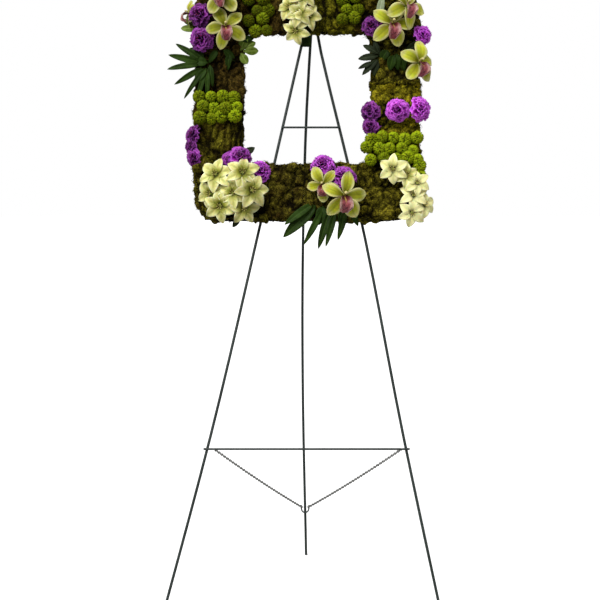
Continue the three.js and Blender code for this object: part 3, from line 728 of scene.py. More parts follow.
FRONT_WIRES = ("left_front_leg", "right_front_leg", "upper_crossbar", "lower_crossbar", "hinge_rod",
               "wreath_hook")
REAR_WIRES = ("rear_leg", "chain_loop")
SHARP = math.radians(50)  # edges bent more than this stay crisp
WELD = 2.6 * MM
HOOK_WELD = 2.4 * MM
BEAD_SHAPE = Matrix.Diagonal((1.25, 0.8, 0.8, 1))


def wire_piece(node, body):
    """A painted wire: the CAD rod, shaded round, with crisp cut ends."""
    bm = cad_copy(node)
    for edge in bm.edges:
        edge.smooth = not (edge.is_manifold and edge.calc_face_angle() > SHARP)
    smooth(bm)
    finish_piece(f"{node}_wire", bm, ["painted_wire"], body, [node])


def weld_beads(name, places, body):
    """Small lumpy beads of weld under the paint. places holds (centre, radius) pairs."""
    bm = bmesh.new()
    for i, (centre, radius) in enumerate(places):
        merge_into(bm, bud(radius, Matrix.Translation(centre) @ turn(40 * i, "Y") @ BEAD_SHAPE))
    for vert in bm.verts:
        vert.co += vert.normal * 0.35 * MM * noise.noise(vert.co * 700)
    finish_piece(name, bm, ["painted_wire"], body)


def rod_welds(node, inset, back):
    """A bead near each end of a rod, where it crosses a front leg. back is from the rod's middle."""
    low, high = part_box(node)
    middle = (low + high) / 2
    return [(Vector((x, middle.y + back, middle.z)), WELD) for x in (low.x + inset, high.x - inset)]


def hook_welds():
    """A bead on each side of the hook's foot, between the front legs."""
    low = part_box("wreath_hook")[0]
    foot = Vector((middle_of("wreath_hook").x, low.y + 5 * MM, low.z + 4 * MM))
    foot += Vector((0, math.sin(LEAN), math.cos(LEAN))) * 3 * MM
    return [(foot + Vector((side * 3.6 * MM, 0, 0)), HOOK_WELD) for side in (-1, 1)]


def loop_weld():
    """One bead under the chain loop."""
    low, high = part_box("chain_loop")
    return [(Vector(((low.x + high.x) / 2, high.y + 0.4 * MM, low.z + 3 * MM)), WELD)]


class WREATH_OT_easel(Operator):
    """Adds the easel's painted wires and their welds"""

    bl_idname = "wreath.easel"
    bl_label = "Easel wires"

    def execute(self, context):
        wire_materials(context.scene.wreath_wire)
        for node in FRONT_WIRES:
            wire_piece(node, "front_frame")
        for node in REAR_WIRES:
            wire_piece(node, "rear_leg")
        beads = rod_welds("hinge_rod", 4 * MM, -3 * MM) + rod_welds("upper_crossbar", 3 * MM, 3 * MM)
        weld_beads("front_welds", beads + hook_welds(), "front_frame")
        weld_beads("rear_weld", loop_weld(), "rear_leg")
        return {"FINISHED"}


def link_mesh(settings):
    """One long oval link of round wire, lying along X."""
    bm = bmesh.new()
    wire = settings.link_wire / 2
    bend = settings.link_width / 2 - wire
    ring = bmesh.ops.create_circle(
        bm, segments=6, radius=wire, matrix=Matrix.Translation((bend, 0, 0)) @ turn(90, "X")
    )
    bmesh.ops.spin(
        bm, geom=[*ring["verts"], *{e for v in ring["verts"] for e in v.link_edges}],
        axis=(0, 0, 1), cent=(0, 0, 0), steps=12, angle=2 * math.pi, use_merge=True,
    )
    stretch = max(settings.link_pitch / 2 - bend + wire, 0)
    for vert in bm.verts:
        vert.co.x += math.copysign(stretch, vert.co.x) if abs(vert.co.x) > 0.01 * MM else 0
    return closed_mesh(bm)


CHAIN_SAG = 4 * MM
CHAIN_REACH = 6 * MM  # from the CAD chain's ends to the middles of the wires that it hangs on


def chain_piece(side, settings):
    """A link chain from the lower crossbar to the rear leg's loop. side is -1 or 1."""
    node = "chain_left" if side < 0 else "chain_right"
    low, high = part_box(node)
    start = Vector((low.x if side < 0 else high.x, low.y, high.z - 2 * MM))
    end = Vector((high.x if side < 0 else low.x, high.y, low.z + 2 * MM))
    pull = (end - start).normalized()
    start = start - pull * CHAIN_REACH
    end = end + pull * CHAIN_REACH
    links = round((end - start).length / settings.link_pitch)
    template = link_mesh(settings)
    bm = bmesh.new()

    def hang(t):
        place = start.lerp(end, t)
        place.z -= CHAIN_SAG * 4 * t * (1 - t)
        return place

    for i in range(links):
        t = (i + 0.5) / links
        ahead = (hang(t + 0.01) - hang(t - 0.01)).normalized()
        matrix = Matrix.Translation(hang(t)) @ facing(ahead, "X", "Z")
        add_copy(bm, template, matrix @ turn(45 + 90 * (i % 2), "X"))
    bpy.data.meshes.remove(template)
    piece = finish_piece(f"{node}_links", bm, ["chain_steel"], None, [node])
    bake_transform(piece, "front_frame", "rear_leg", start=start, end=end)


class WREATH_OT_chains(Operator):
    """Adds the two check chains, which stop the rear leg from sliding out"""

    bl_idname = "wreath.chains"
    bl_label = "Check chains"

    def execute(self, context):
        for side in (-1, 1):
            chain_piece(side, context.scene.wreath_wire)
        return {"FINISHED"}


# ---- Wreath base ---------------------------------------------------------------------------

CELL = 20 * MM  # the backing board is moulded with a grid of shallow square cells
CELL_WALL = 1.6 * MM
CELL_TAPER = 0.5 * MM
CELL_DEPTH = 2.4 * MM
SMALLEST_CELL = 60 * MM * MM
HOLDER_VOXEL = 1.6 * MM


def backing_board():
    """The backing with square cells sunk into its back."""
    bm = cad_copy("foam_backing")
    bm.transform(WREATH.inverted())
    bmesh.ops.dissolve_limit(bm, angle_limit=0.02, verts=bm.verts, edges=bm.edges)
    for axis in (Vector((1, 0, 0)), Vector((0, 1, 0))):
        for step in range(-14, 15):
            parts = [*bm.verts, *bm.edges, *bm.faces]
            cut = axis * (step + 0.5) * CELL
            bmesh.ops.bisect_plane(bm, geom=parts, dist=0.01 * MM, plane_co=cut, plane_no=axis)
    cells = [face for face in bm.faces if face.normal.z < -0.9 and face.calc_area() > SMALLEST_CELL]
    bmesh.ops.inset_individual(bm, faces=cells, thickness=CELL_WALL, depth=0)
    bmesh.ops.inset_individual(bm, faces=cells, thickness=CELL_TAPER, depth=-CELL_DEPTH)
    bm.transform(WREATH)
    return bm


def crumbled_block():
    """The small foam holder with a crumbled surface."""
    bm = remeshed(cad_copy("flower_holder"), HOLDER_VOXEL)
    for vert in bm.verts:
        vert.co += vert.normal * 0.7 * MM * noise.noise(vert.co * 400)
    return bm


class WREATH_OT_base(Operator):
    """Finishes the backing ring, the foam and the small foam holder"""

    bl_idname = "wreath.base"
    bl_label = "Backing and foam"

    def execute(self, context):
        base_materials()
        board = backing_board()
        finish_piece("backing_ring", board, ["wreath_backing"], nodes=["foam_backing"])
        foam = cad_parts["foam_ring"]
        foam.data.materials.clear()
        foam.data.materials.append(MATERIALS["floral_foam"])
        block = crumbled_block()
        finish_piece("holder_block", block, ["floral_foam"], nodes=["flower_holder"])
        return {"FINISHED"}


# ---- Moss ----------------------------------------------------------------------------------

MOSS_PATCHES = {
    # material, slot, how far the cushions are drawn out downwards
    "moss_top_left_corner": ("moss_dark", "moss_dark", 1.0),
    "moss_left_upper": ("moss_dark", "moss_dark", 1.4),
    "moss_left_lower": ("moss_olive", "moss_olive", 2.2),
    "moss_bottom_left_corner": ("moss_olive", "moss_olive", 1.2),
    "moss_bottom": ("moss_mixed", "moss_dark", 1.0),
    "moss_bottom_right_corner": ("moss_gold", "moss_olive", 1.0),
    "moss_right": ("moss_yellow", "moss_yellow", 1.0),
    "moss_top_right_corner": ("moss_olive", "moss_yellow", 1.0),
    "moss_top_right": ("moss_green", "moss_yellow", 1.8),
    "moss_top_left": ("moss_dark", "moss_dark", 1.8),
}
MOSS_VOXEL = 2.8 * MM
MOSS_BACK = 1 * MM  # the moss stays in front of this height, clear of the easel's wires
MOSS_TRIM = 4.5 * MM  # how far the moss is pressed in on the ring's inner and outer sides
PATCH_OVERLAP = 2.4 * MM  # how far a patch's ends press into the next patch
FOAM_CORNER = 46 * MM  # radius of the foam ring's outer corners
SILL_SHARE = 62 / 80  # the bottom bar's moss reaches 80 mm in from its middle line, the others' 62
CUSHION_SEED = 1  # any number but 0, so that the cushions are the same on every run


def off_bars(place):
    """How far a place lies outwards from the middle lines of the side bars and of the cross bars."""
    cross = abs(place.y) - BAR_MIDDLE[1]
    if place.y < 0 and cross < 0:
        cross *= SILL_SHARE
    return abs(place.x) - BAR_MIDDLE[0], cross


def off_middle(place):
    """How far a place on the wreath lies from the middle line of its bar, inwards or outwards."""
    side, cross = off_bars(place)
    straight = FOAM_HALF - FOAM_CORNER
    if side > straight and cross > straight:
        return straight + math.hypot(side - straight, cross - straight)
    return max(side, cross)


def is_outside(place):
    """Whether a place is on the moss's outer skin, clear of the foam ring."""
    return abs(off_middle(place)) > FOAM_HALF + 5 * MM or place.z > FOAM_FACE + 1.5 * MM


def cushions(place, width, streak):
    """Height of the moss cushions at a place, about -1 to 1, and how open it is to light, 0 to 1.

    A streak over 1 draws the cushions out into hanging strands."""
    place = Vector((place.x, place.y / streak, place.z))
    strayed = place + 0.35 * width * noise.noise_vector(place / width)
    near = noise.voronoi(strayed / width)[0]
    seam = min((near[1] - near[0]) / 0.4, 1)
    near = noise.voronoi(strayed / width * 2.3 + Vector((5, 3, 8)))[0]
    small_seam = min((near[1] - near[0]) / 0.45, 1)
    broad = noise.noise(place / width * 0.5)
    height = 0.9 * (seam - 0.7) + 0.4 * (small_seam - 0.6) + 1.1 * broad
    light = 0.62 * seam + 0.38 * small_seam + 0.6 * broad
    return height, clamped(light)


def tuft_templates(settings):
    """A few tufts of three curly tapered strands, growing along Z."""
    made = []
    chance = random.Random(11)
    for _ in range(8):
        bm = bmesh.new()
        for strand in range(3):
            depth = settings.strand * chance.uniform(0.7, 1.2)
            part = bmesh.new()
            bmesh.ops.create_cone(part, cap_ends=True, segments=3, radius1=1.0 * MM, radius2=0, depth=depth)
            upright = [edge for edge in part.edges if abs(edge.verts[0].co.z - edge.verts[1].co.z) > MM]
            bmesh.ops.subdivide_edges(part, edges=upright, cuts=1)
            curl = chance.uniform(1.2, 3.0)
            lean = chance.uniform(0.5, 1.3)
            tag(part, tint=0.5, open=1.0, rise=1.0)
            layer = part.verts.layers.float["rise"]
            for vert in part.verts:
                t = vert.co.z / depth + 0.5
                bend = (lean + curl * t * t) * 0.6
                # Painted shade: rise darkens each strand from its tip towards its root.
                vert[layer] = 0.4 + 0.6 * t
                vert.co.z = depth * t * math.cos(bend)
                vert.co.x += depth * t * math.sin(bend)
                vert.co.y += depth * 0.12 * math.sin(5 * t + strand)
            part.transform(turn(120 * strand + chance.uniform(-30, 30), "Z"))
            smooth(part)
            merge_into(bm, as_mesh(part))
        made.append(as_mesh(bm))
    return made


def along_bar(place, normal):
    """How far a wreath normal points along its bar, as a patch's end faces do."""
    side, cross = off_bars(place)
    if min(side, cross) > FOAM_HALF - FOAM_CORNER:
        return 0.0
    return abs(normal.y if side > cross else normal.x)


def moss_bed(node, streak, settings):
    """The patch's solid body with a skin of lumpy cushions."""
    bm = remeshed(cad_copy(node), MOSS_VOXEL)
    bm.transform(WREATH.inverted())
    bm.normal_update()
    # Painted shade: hidden parts of the bed get no openness, so they show the dark root colour.
    tag(bm, tint=0.45, open=0.0, rise=0.5)
    layer = bm.verts.layers.float["open"]
    skin = {vert for vert in bm.verts if is_outside(vert.co)}
    moved = []
    for vert in skin:
        place = vert.co
        height, light = cushions(place, settings.cushion, streak)
        # Openness to light, which the moss material turns into painted shade in the creases.
        vert[layer] = light
        cover = max(place.z - FOAM_FACE, abs(off_middle(place)) - FOAM_HALF) - MM
        facing_out = abs(vert.normal.z)
        clump = noise.noise(place * 130) + 0.6 * noise.noise(place * 300)
        lump = settings.lumps * height * (0.55 + 0.45 * facing_out) + 1.9 * MM * clump
        push = max(lump - MOSS_TRIM * (1 - facing_out), -cover)
        if along_bar(place, vert.normal) > 0.6:
            push = PATCH_OVERLAP
        goal = place + vert.normal * push
        goal.z = max(goal.z, MOSS_BACK)
        moved.append((vert, goal))
    for vert, goal in moved:
        vert.co = goal
    hidden = [vert for vert in bm.verts if vert not in skin]
    sides = [edge for edge in bm.edges if not (edge.verts[0] in skin or edge.verts[1] in skin)]
    bmesh.ops.dissolve_limit(bm, angle_limit=0.06, verts=hidden, edges=sides)
    bm.normal_update()
    smooth(bm)
    return bm


def add_tufts(bm, node, settings, templates):
    """Scatters tufts over the outer skin of a moss bed, away from the back."""
    chance = random.Random(node)
    layer = bm.verts.layers.float["open"]
    skin = []
    for face in bm.faces:
        place = face.calc_center_median()
        if is_outside(place) and place.z > 4 * MM and face.normal.z > -0.3:
            skin.append(face)
    areas = [face.calc_area() for face in skin]
    wanted = round(sum(areas) * 100 * settings.tufts)
    roots = []
    for face in chance.choices(skin, weights=areas, k=wanted):
        weights = [chance.random() + 0.05 for _ in face.verts]
        point = sum((v.co * w for v, w in zip(face.verts, weights)), Vector()) / sum(weights)
        light = sum(vert[layer] for vert in face.verts) / len(face.verts)
        roots.append((point, face.normal.copy(), light))
    for point, normal, light in roots:
        out = (normal + Vector([chance.gauss(0, 0.7) for _ in range(3)])).normalized()
        if out.dot(normal) < 0.2:
            out = (out + normal).normalized()
        out.z = max(out.z, 0)
        matrix = (
            Matrix.Translation(point - normal * MM)
            @ facing(out, "Z", "Y")
            @ turn(chance.uniform(0, 360), "Z")
            @ Matrix.Scale(chance.uniform(0.65, 1.15), 4)
        )
        # Painted shade: a tuft is darker where its root sits in a crease.
        openness = clamped(0.25 + 0.85 * light + chance.uniform(-0.2, 0.25))
        add_copy(bm, chance.choice(templates), matrix, tint=chance.betavariate(2, 2), open=openness)
    bm.transform(WREATH)


class WREATH_OT_moss(Operator):
    """Covers the foam ring with patches of moss"""

    bl_idname = "wreath.moss"
    bl_label = "Moss"

    def execute(self, context):
        settings = context.scene.wreath_moss
        moss_materials(settings)
        noise.seed_set(CUSHION_SEED)
        templates = tuft_templates(settings)
        for node, (material, slot, streak) in MOSS_PATCHES.items():
            bm = moss_bed(node, streak, settings)
            add_tufts(bm, node, settings, templates)
            finish_piece(f"{node}_growth", bm, [material], nodes=[node])
        for template in templates:
            bpy.data.meshes.remove(template)
        return {"FINISHED"}


# ---- Petal shapes --------------------------------------------------------------------------


def swell(v, widest, fullness, base=0.0):
    """A petal's width from its base to its tip, 1 where it is widest."""
    power = math.log(0.5) / math.log(widest)
    width = math.sin(math.pi * v**power) ** fullness if 0 < v < 1 else 0.0
    return max(width, base * (1 - v), 0.05)


def orchid_petal(radius, long, wide, bend, twist, phase):
    """An orchid's petal, growing along +Y from the centre and facing +Z."""

    def shape(u, v):
        half = radius * wide * swell(v, 0.56, 0.62, 0.36)
        x = u * half
        y = radius * (0.05 + long * v)
        cup = 0.1 * math.sin(math.pi * min(v * 1.2, 1)) - bend * v * v
        edge = 0.17 * u * u * half * (1 - 0.9 * v)
        wave = 0.025 * radius * abs(u) ** 3 * math.sin(7 * v + phase + 2 * u)
        keel = -0.012 * radius * math.exp(-((u / 0.16) ** 2))
        rise = radius * cup + edge + wave + keel
        return Vector((x * math.cos(twist * v), y, rise + x * math.sin(twist * v)))

    return shape


def lip_shape(radius):
    """A trough with raised side lobes, which opens into a frilled lobe that curls down."""

    def middle(t):
        if t < 0.5:
            return Vector((0, -0.02 - 0.36 * t, 0.04 + 0.72 * t))
        s = (t - 0.5) / 0.5
        return Vector((0, -0.2 - 0.46 * s, 0.4 + 0.08 * math.sin(math.pi * s) - 0.3 * s * s))

    def shape(u, v):
        ahead = (middle(min(v + 0.05, 1.1)) - middle(v - 0.05)).normalized()
        out = Vector((0, ahead.z, -ahead.y))
        opened = clamped((v - 0.3) / 0.4)
        curl = 1.7 - 1.15 * opened * opened * (3 - 2 * opened)
        half = 0.07 + 0.22 * math.sin(math.pi / 2 * min(v / 0.6, 1))
        if v > 0.6:
            half = 0.29 * math.sqrt(1 - 0.85 * ((v - 0.6) / 0.4) ** 2)
        frill = 0.045 * u * u * math.sin(15 * v + 4 * u) * opened
        rise = half / curl * (1 - math.cos(u * curl)) + frill
        place = middle(v) + out * rise
        place.x = half / curl * math.sin(u * curl)
        return place * radius

    return shape


SAW_CUTS = 16  # segments across a carnation petal, whose ends are high and low by turns


def carnation_petal(long, wide, lean, ruffle, phase):
    """A fan shaped petal with a saw edge. It leans out from Z by lean degrees at its tip."""

    def shape(u, v):
        half = wide * (0.1 + 0.9 * v**1.2) * math.cos(0.25 * u * v)
        tooth = 0.032 * (1 if round((u + 1) * SAW_CUTS / 2) % 2 else -1) * (v > 0.99)
        reach = long * v * (1 + tooth + 0.05 * math.sin(3.4 * u + phase) * v - 0.2 * u * u * v)
        angle = math.radians(lean) * (0.35 + 0.65 * v)
        wave = ruffle * long * v * v * (
            0.2 * math.sin(3.8 * u + phase) + 0.12 * math.sin(8.2 * u + 2.3 * phase + 2 * v)
        )
        x = u * half
        return Vector((
            x,
            reach * math.sin(angle) + wave * math.cos(angle) + 0.2 * abs(u) ** 2 * half * math.cos(angle),
            reach * math.cos(angle) - wave * math.sin(angle),
        ))

    return shape


def star_petal(long, wide, phase):
    """A pointed waxy petal that rises from the throat and curls back at its tip."""

    def shape(u, v):
        half = wide * swell(v, 0.46, 0.85, 0.4)
        angle = math.radians(22 + 74 * v**0.8)
        reach = long * v
        fold = 0.22 * half * abs(u) ** 1.5 - 0.06 * half * math.exp(-((u / 0.2) ** 2))
        wave = 0.05 * long * math.sin(5 * v + phase) * u * v
        x = u * half
        return Vector((
            x,
            reach * math.sin(angle) - (fold + wave) * math.cos(angle) + 1.5 * MM,
            reach * math.cos(angle) * 0.9 + (fold + wave) * math.sin(angle),
        ))

    return shape


def blade_shape(long, half_width, droop, fold, saw, widest, fullness):
    """A leaf blade along +Y, folded along its midrib and drooping at its tip."""

    def shape(u, v):
        tooth = 1 + saw * (math.sin(46 * v) if abs(u) > 0.99 else 0)
        half = half_width * swell(v, widest, fullness, 0.18) * tooth
        rise = fold * abs(u) * half - droop * v * v + 0.6 * MM * math.sin(9 * v) * u
        return Vector((u * half, long * v, rise))

    return shape


# ---- Flowers -------------------------------------------------------------------------------

ORCHIDS = [
    # across, up, lift, nod up, nod right, spin, radius, tint
    (-193, 166, 24, 0, 5, 24, 52, 0.5),
    (-198, 232, 34, 20, -10, 10, 52, 0.45),
    (-266, 204, -4, 10, -70, 10, 34, 0.4),
    (198, 172, 24, 0, 10, -15, 56, 0.55),
    (228, 208, 36, 15, 25, -30, 52, 0.65),
    (256, 84, 18, -5, 30, -4, 53, 0.65),
    (40, -201, 16, -18, -12, 30, 44, 0.5),
    (84, -234, 34, -8, 10, -8, 60, 0.62),
]
ORCHID_NECK = 15 * MM  # from the moss to the petals
# A stalk's profile holds the height and radius of each of its rings, in millimetres.
ORCHID_STEM = ((-19, 2.4), (-7.5, 2.8), (-1.5, 4.2))


def orchid(name, place, spin, radius, tint, number):
    """A cymbidium: three sepals, two petals, a lip, a column and a short green stalk."""
    chance = random.Random(number)
    bm = bmesh.new()
    for i in range(5):
        is_petal = i in (1, 4)
        shape = orchid_petal(
            radius,
            long=(0.9 if is_petal else 0.97) * chance.uniform(0.94, 1.04),
            wide=(0.27 if is_petal else 0.3) * chance.uniform(0.94, 1.08),
            bend=chance.uniform(-0.12, 0.34),
            twist=chance.uniform(-0.5, 0.5),
            phase=chance.uniform(0, 6),
        )
        blade = petal(14, 16, shape, 0.9 * MM, tint=tint + chance.uniform(-0.22, 0.3))
        back = -0.8 * MM if is_petal else -2.2 * MM
        merge_into(bm, blade, turn(72 * i + chance.uniform(-5, 5), "Z") @ Matrix.Translation((0, 0, back)))
    hang = turn(-0.85 * spin, "Z")
    merge_into(bm, petal(16, 20, lip_shape(radius), 0.8 * MM, material=1), hang)
    steps = (0, 0.2, 0.4, 0.6, 0.8, 0.92, 1)
    path = [radius * Vector((0, 0.03 + 0.1 * math.sin(2.4 * t), 0.36 * t)) for t in steps]
    widths = [radius * part for part in (0.07, 0.058, 0.054, 0.056, 0.064, 0.06, 0.03)]
    merge_into(bm, stalk(path, widths, 10, 2), hang)
    merge_into(bm, upright_stalk(ORCHID_STEM, 8, 3))
    bm.transform(place @ Matrix.Translation((0, 0, ORCHID_NECK)))
    materials = ["orchid_petal", "orchid_lip", "orchid_column", "green_stalk"]
    finish_piece(f"{name}_flower", bm, materials, nodes=[name])


class WREATH_OT_orchids(Operator):
    """Adds the cymbidium orchids"""

    bl_idname = "wreath.orchids"
    bl_label = "Orchids"

    def execute(self, context):
        settings = context.scene.wreath_flowers
        orchid_petal_material(settings)
        orchid_lip_material(settings)
        orchid_column_material(settings)
        plant_material("green_stalk", display(96, 118, 40), display(136, 152, 62), display(70, 92, 30),
                       Specular_IOR_Level=0.4)
        for i, (*spot, radius, tint) in enumerate(ORCHIDS):
            orchid(f"cymbidium_{i + 1:02d}", on_wreath(*spot), spot[-1], radius * MM, tint, i)
        return {"FINISHED"}


CARNATIONS = [
    # tint, then each head's across, up, lift, nod up, nod right and radius
    (0.25, [(-246, 142, 6, -5, -15, 27)]),
    (0.22, [(-249, 198, 6, 10, -20, 27)]),
    (0.28, [(-258, -84, -20, 10, -62, 22), (-262, -108, -22, 0, -66, 20)]),
    (0.32, [(-254, -134, -20, -10, -60, 23)]),
    (0.38, [(-160, -148, 4, 35, 5, 27), (-178, -150, 0, 20, -20, 20)]),
    (0.56, [(-117, -177, -7, 25, 30, 26)]),
    (0.48, [(38, -168, -2, 45, -10, 27)]),
    (0.4, [(84, -196, 12, 35, 10, 27)]),
    (0.25, [(158, -30, -8, 5, -40, 23), (160, -62, -10, -10, -45, 22)]),
    (0.66, [(213, -30, 10, 0, 0, 26)]),
    (0.82, [(257, -25, 0, 0, 38, 27)]),
    (0.26, [(160, 172, 0, 10, -30, 24)]),
    (0.8, [(264, 154, -6, 0, 45, 23)]),
]
CALYX = 9 * MM  # height of the green cup under the petals
CALYX_PROFILE = ((-6, 1.8), (0, 1.9), (2, 4.2), (6, 5.6), (10, 6.0), (12, 5.0))
WHORLS = (
    # petals, how far they lean out in degrees, and their length
    (7, 86, 1.0), (7, 67, 1.0), (6, 49, 1.0), (5, 33, 0.98), (4, 19, 0.95), (2, 8, 0.9)
)


def carnation(bm, place, radius, tint, ruffle, chance):
    """Adds a carnation: whorls of ruffled, saw edged petals over a green calyx."""
    for whorl, (petals, lean, reach) in enumerate(WHORLS):
        for i in range(petals):
            shape = carnation_petal(
                long=radius * reach * (1.06 - 0.012 * whorl) * chance.uniform(0.9, 1.06),
                wide=radius * (0.7 - 0.045 * whorl),
                lean=lean + chance.uniform(-10, 10),
                ruffle=ruffle * chance.uniform(0.8, 1.2) * (1.0 + 0.1 * whorl),
                phase=chance.uniform(0, 6.3),
            )
            blade = petal(SAW_CUTS, 5, shape, 0.3 * MM, tint=clamped(tint + chance.uniform(-0.14, 0.14)))
            spin = 360 * (i + 0.5 * (whorl % 2)) / petals + chance.uniform(-10, 10)
            merge_into(bm, blade, place @ Matrix.Translation((0, 0, CALYX)) @ turn(spin, "Z"))
    merge_into(bm, upright_stalk(CALYX_PROFILE, 10, 1), place)


class WREATH_OT_carnations(Operator):
    """Adds the purple carnations"""

    bl_idname = "wreath.carnations"
    bl_label = "Carnations"

    def execute(self, context):
        settings = context.scene.wreath_flowers
        carnation_material(settings)
        for i, (tint, heads) in enumerate(CARNATIONS):
            node = f"carnation_{i + 1:02d}"
            chance = random.Random(node)
            bm = bmesh.new()
            for *spot, radius in heads:
                place = on_wreath(*spot, spin=chance.uniform(0, 60))
                carnation(bm, place, radius * MM, tint, settings.carnation_ruffle, chance)
            materials = ["carnation_petal", "green_stalk"]
            finish_piece(f"{node}_flower", bm, materials, nodes=[node])
        return {"FINISHED"}


STAR_BLOOMS = {
    # tint and radius, then each head's across, up, lift, nod up and nod right
    "cream_blooms_left": (0.55, 37, [(-212, -184, 14, 12, -14), (-224, -226, 4, -5, -26),
                                     (-203, -253, 10, -14, -8)]),
    "cream_blooms_bottom": (0.55, 37, [(-151, -181, 30, 10, 2), (-131, -222, 31, 0, 14),
                                       (-174, -226, 16, 0, -4), (-150, -258, 8, -14, 10)]),
    "cream_blooms_top": (0.52, 31, [(-10, 240, 10, 20, 10), (-38, 218, 4, 5, -25), (-26, 166, 4, -20, -10),
                                (-2, 196, 10, 0, 15), (-18, 200, 16, 0, -5)]),
    "cream_blooms_right_upper": (0.82, 31, [(203, -168, 15, -8, -14), (232, -182, 9, 0, 10)]),
    "cream_blooms_right_lower": (1.0, 31, [(258, -202, 6, 8, 5), (250, -230, 2, 8, 0),
                                       (272, -250, -6, 0, 30), (246, -268, -4, -15, 5)]),
}
STAR_THROAT = 4 * MM  # height of the petals' feet over the moss
STAR_STEM = ((-8, 1.8), (0, 2.2), (5, 3.4), (9, 2.6))
STAMEN = 17 * MM


def star_bloom(bm, place, radius, tint, chance):
    """Adds one six petalled bloom with its stamens."""
    tint = clamped(tint + chance.uniform(-0.15, 0.15))
    place = place @ Matrix.Scale(chance.uniform(0.9, 1.1), 4)
    for i in range(6):
        outer = i % 2 == 0
        shape = star_petal(
            long=radius * chance.uniform(1.0, 1.12),
            wide=radius * (0.37 if outer else 0.33) * chance.uniform(0.95, 1.05),
            phase=chance.uniform(0, 6.3),
        )
        lift = STAR_THROAT + (0 if outer else 0.8 * MM)
        matrix = place @ Matrix.Translation((0, 0, lift)) @ turn(60 * i + chance.uniform(-5, 5), "Z")
        merge_into(bm, petal(8, 10, shape, 0.7 * MM, tint=tint + chance.uniform(-0.08, 0.08)), matrix)
    path = [Vector((0, (1 + 5 * t * t) * MM, STAMEN * t)) for t in (0, 0.5, 1)]
    anther = Matrix.Translation(path[-1]) @ Matrix.Diagonal((0.7, 0.7, 1.6, 1))
    for i in range(6):
        turned = place @ Matrix.Translation((0, 0, STAR_THROAT)) @ turn(60 * i + 30, "Z")
        merge_into(bm, stalk(path, [0.5 * MM, 0.45 * MM, 0.35 * MM], 5, 1), turned)
        merge_into(bm, bud(1.2 * MM, anther, 6, 4, material=1), turned)
    merge_into(bm, upright_stalk(STAR_STEM, 8, 2), place)


class WREATH_OT_cream_blooms(Operator):
    """Adds the cream star blooms"""

    bl_idname = "wreath.cream_blooms"
    bl_label = "Cream blooms"

    def execute(self, context):
        settings = context.scene.wreath_flowers
        cream_material(settings)
        plant_material("stamen", display(178, 176, 84), display(224, 206, 120), display(120, 96, 30))
        for node, (tint, radius, heads) in STAR_BLOOMS.items():
            chance = random.Random(node)
            bm = bmesh.new()
            for head in heads:
                place = on_wreath(*head, spin=chance.uniform(0, 60))
                star_bloom(bm, place, radius * MM, tint, chance)
            materials = ["cream_petal", "stamen", "green_stalk"]
            finish_piece(f"{node}_flowers", bm, materials, nodes=[node])
        return {"FINISHED"}


MUM_ROWS = {
    # first head across and up, columns, rows, how far alternate rows are set aside, tint at the
    # left and at the right, heads on their own across and up
    "button_mums_left": (-256, 4, 4, 3, 12, 0.36, 0.72, []),
    "button_mums_right": (152, -94, 5, 3, -10, 0.5, 1.0, [(262, -160), (270, -182)]),
    "button_mums_top_left": (-134, 238, 2, 4, 12, 0.18, 0.18, []),
    "button_mums_top_right": (84, 242, 2, 3, 12, 0.26, 0.26, []),
}
MUM_RADIUS = 15.2 * MM
MUM_PITCH = (27, 24)
GOLDEN = math.pi * (3 - math.sqrt(5))
FLORET = 6.4 * MM  # length of one small petal


def floret_mesh():
    """One small scoop shaped petal, which stands along Z and cups towards -Y."""

    def shape(u, v):
        half = 1.7 * MM * (0.6, 1.0, 0.7)[round(2 * v)]
        return Vector((u * half, 1.0 * MM * (u * u) - 2.2 * MM * v * v + 0.6 * MM, FLORET * v))

    mesh = petal(2, 2, shape, 0.5 * MM)
    # Painted shade: rise darkens each floret towards its root, between the petals.
    rises = [clamped(0.3 + 0.7 * vert.co.z / FLORET) for vert in mesh.vertices]
    mesh.attributes["rise"].data.foreach_set("value", rises)
    return mesh


def button_mum(bm, floret, place, petals, tint, chance):
    """Adds one tight dome of small petals, set out by the golden angle."""
    heart = Matrix.Translation((0, 0, MUM_RADIUS * 0.45))
    root = Matrix.Translation((0, 0, MUM_RADIUS * 0.56))
    # Painted shade: the core under the petals is dark.
    core = bud(MUM_RADIUS * 0.72, heart @ Matrix.Diagonal((1, 1, 0.8, 1)), 10, 8, tint=0.1)
    core.attributes["rise"].data.foreach_set("value", [0.3] * len(core.vertices))
    merge_into(bm, core, place)
    for i in range(petals):
        outward = i / petals
        polar = math.acos(1 - 1.3 * (i + 0.5) / petals)
        size = Matrix.Scale(0.62 + 0.5 * outward**0.6, 4)
        out = heart @ Matrix.Rotation(i * GOLDEN, 4, "Z") @ Matrix.Rotation(polar, 4, "X")
        matrix = out @ turn(chance.uniform(-12, 12), "Y") @ root @ size
        # Painted light: petals near the top of the dome are lighter, those down its sides darker.
        shade = tint + 0.4 * (0.4 - outward) + chance.uniform(-0.12, 0.12)
        add_copy(bm, floret, place @ matrix, tint=clamped(shade))


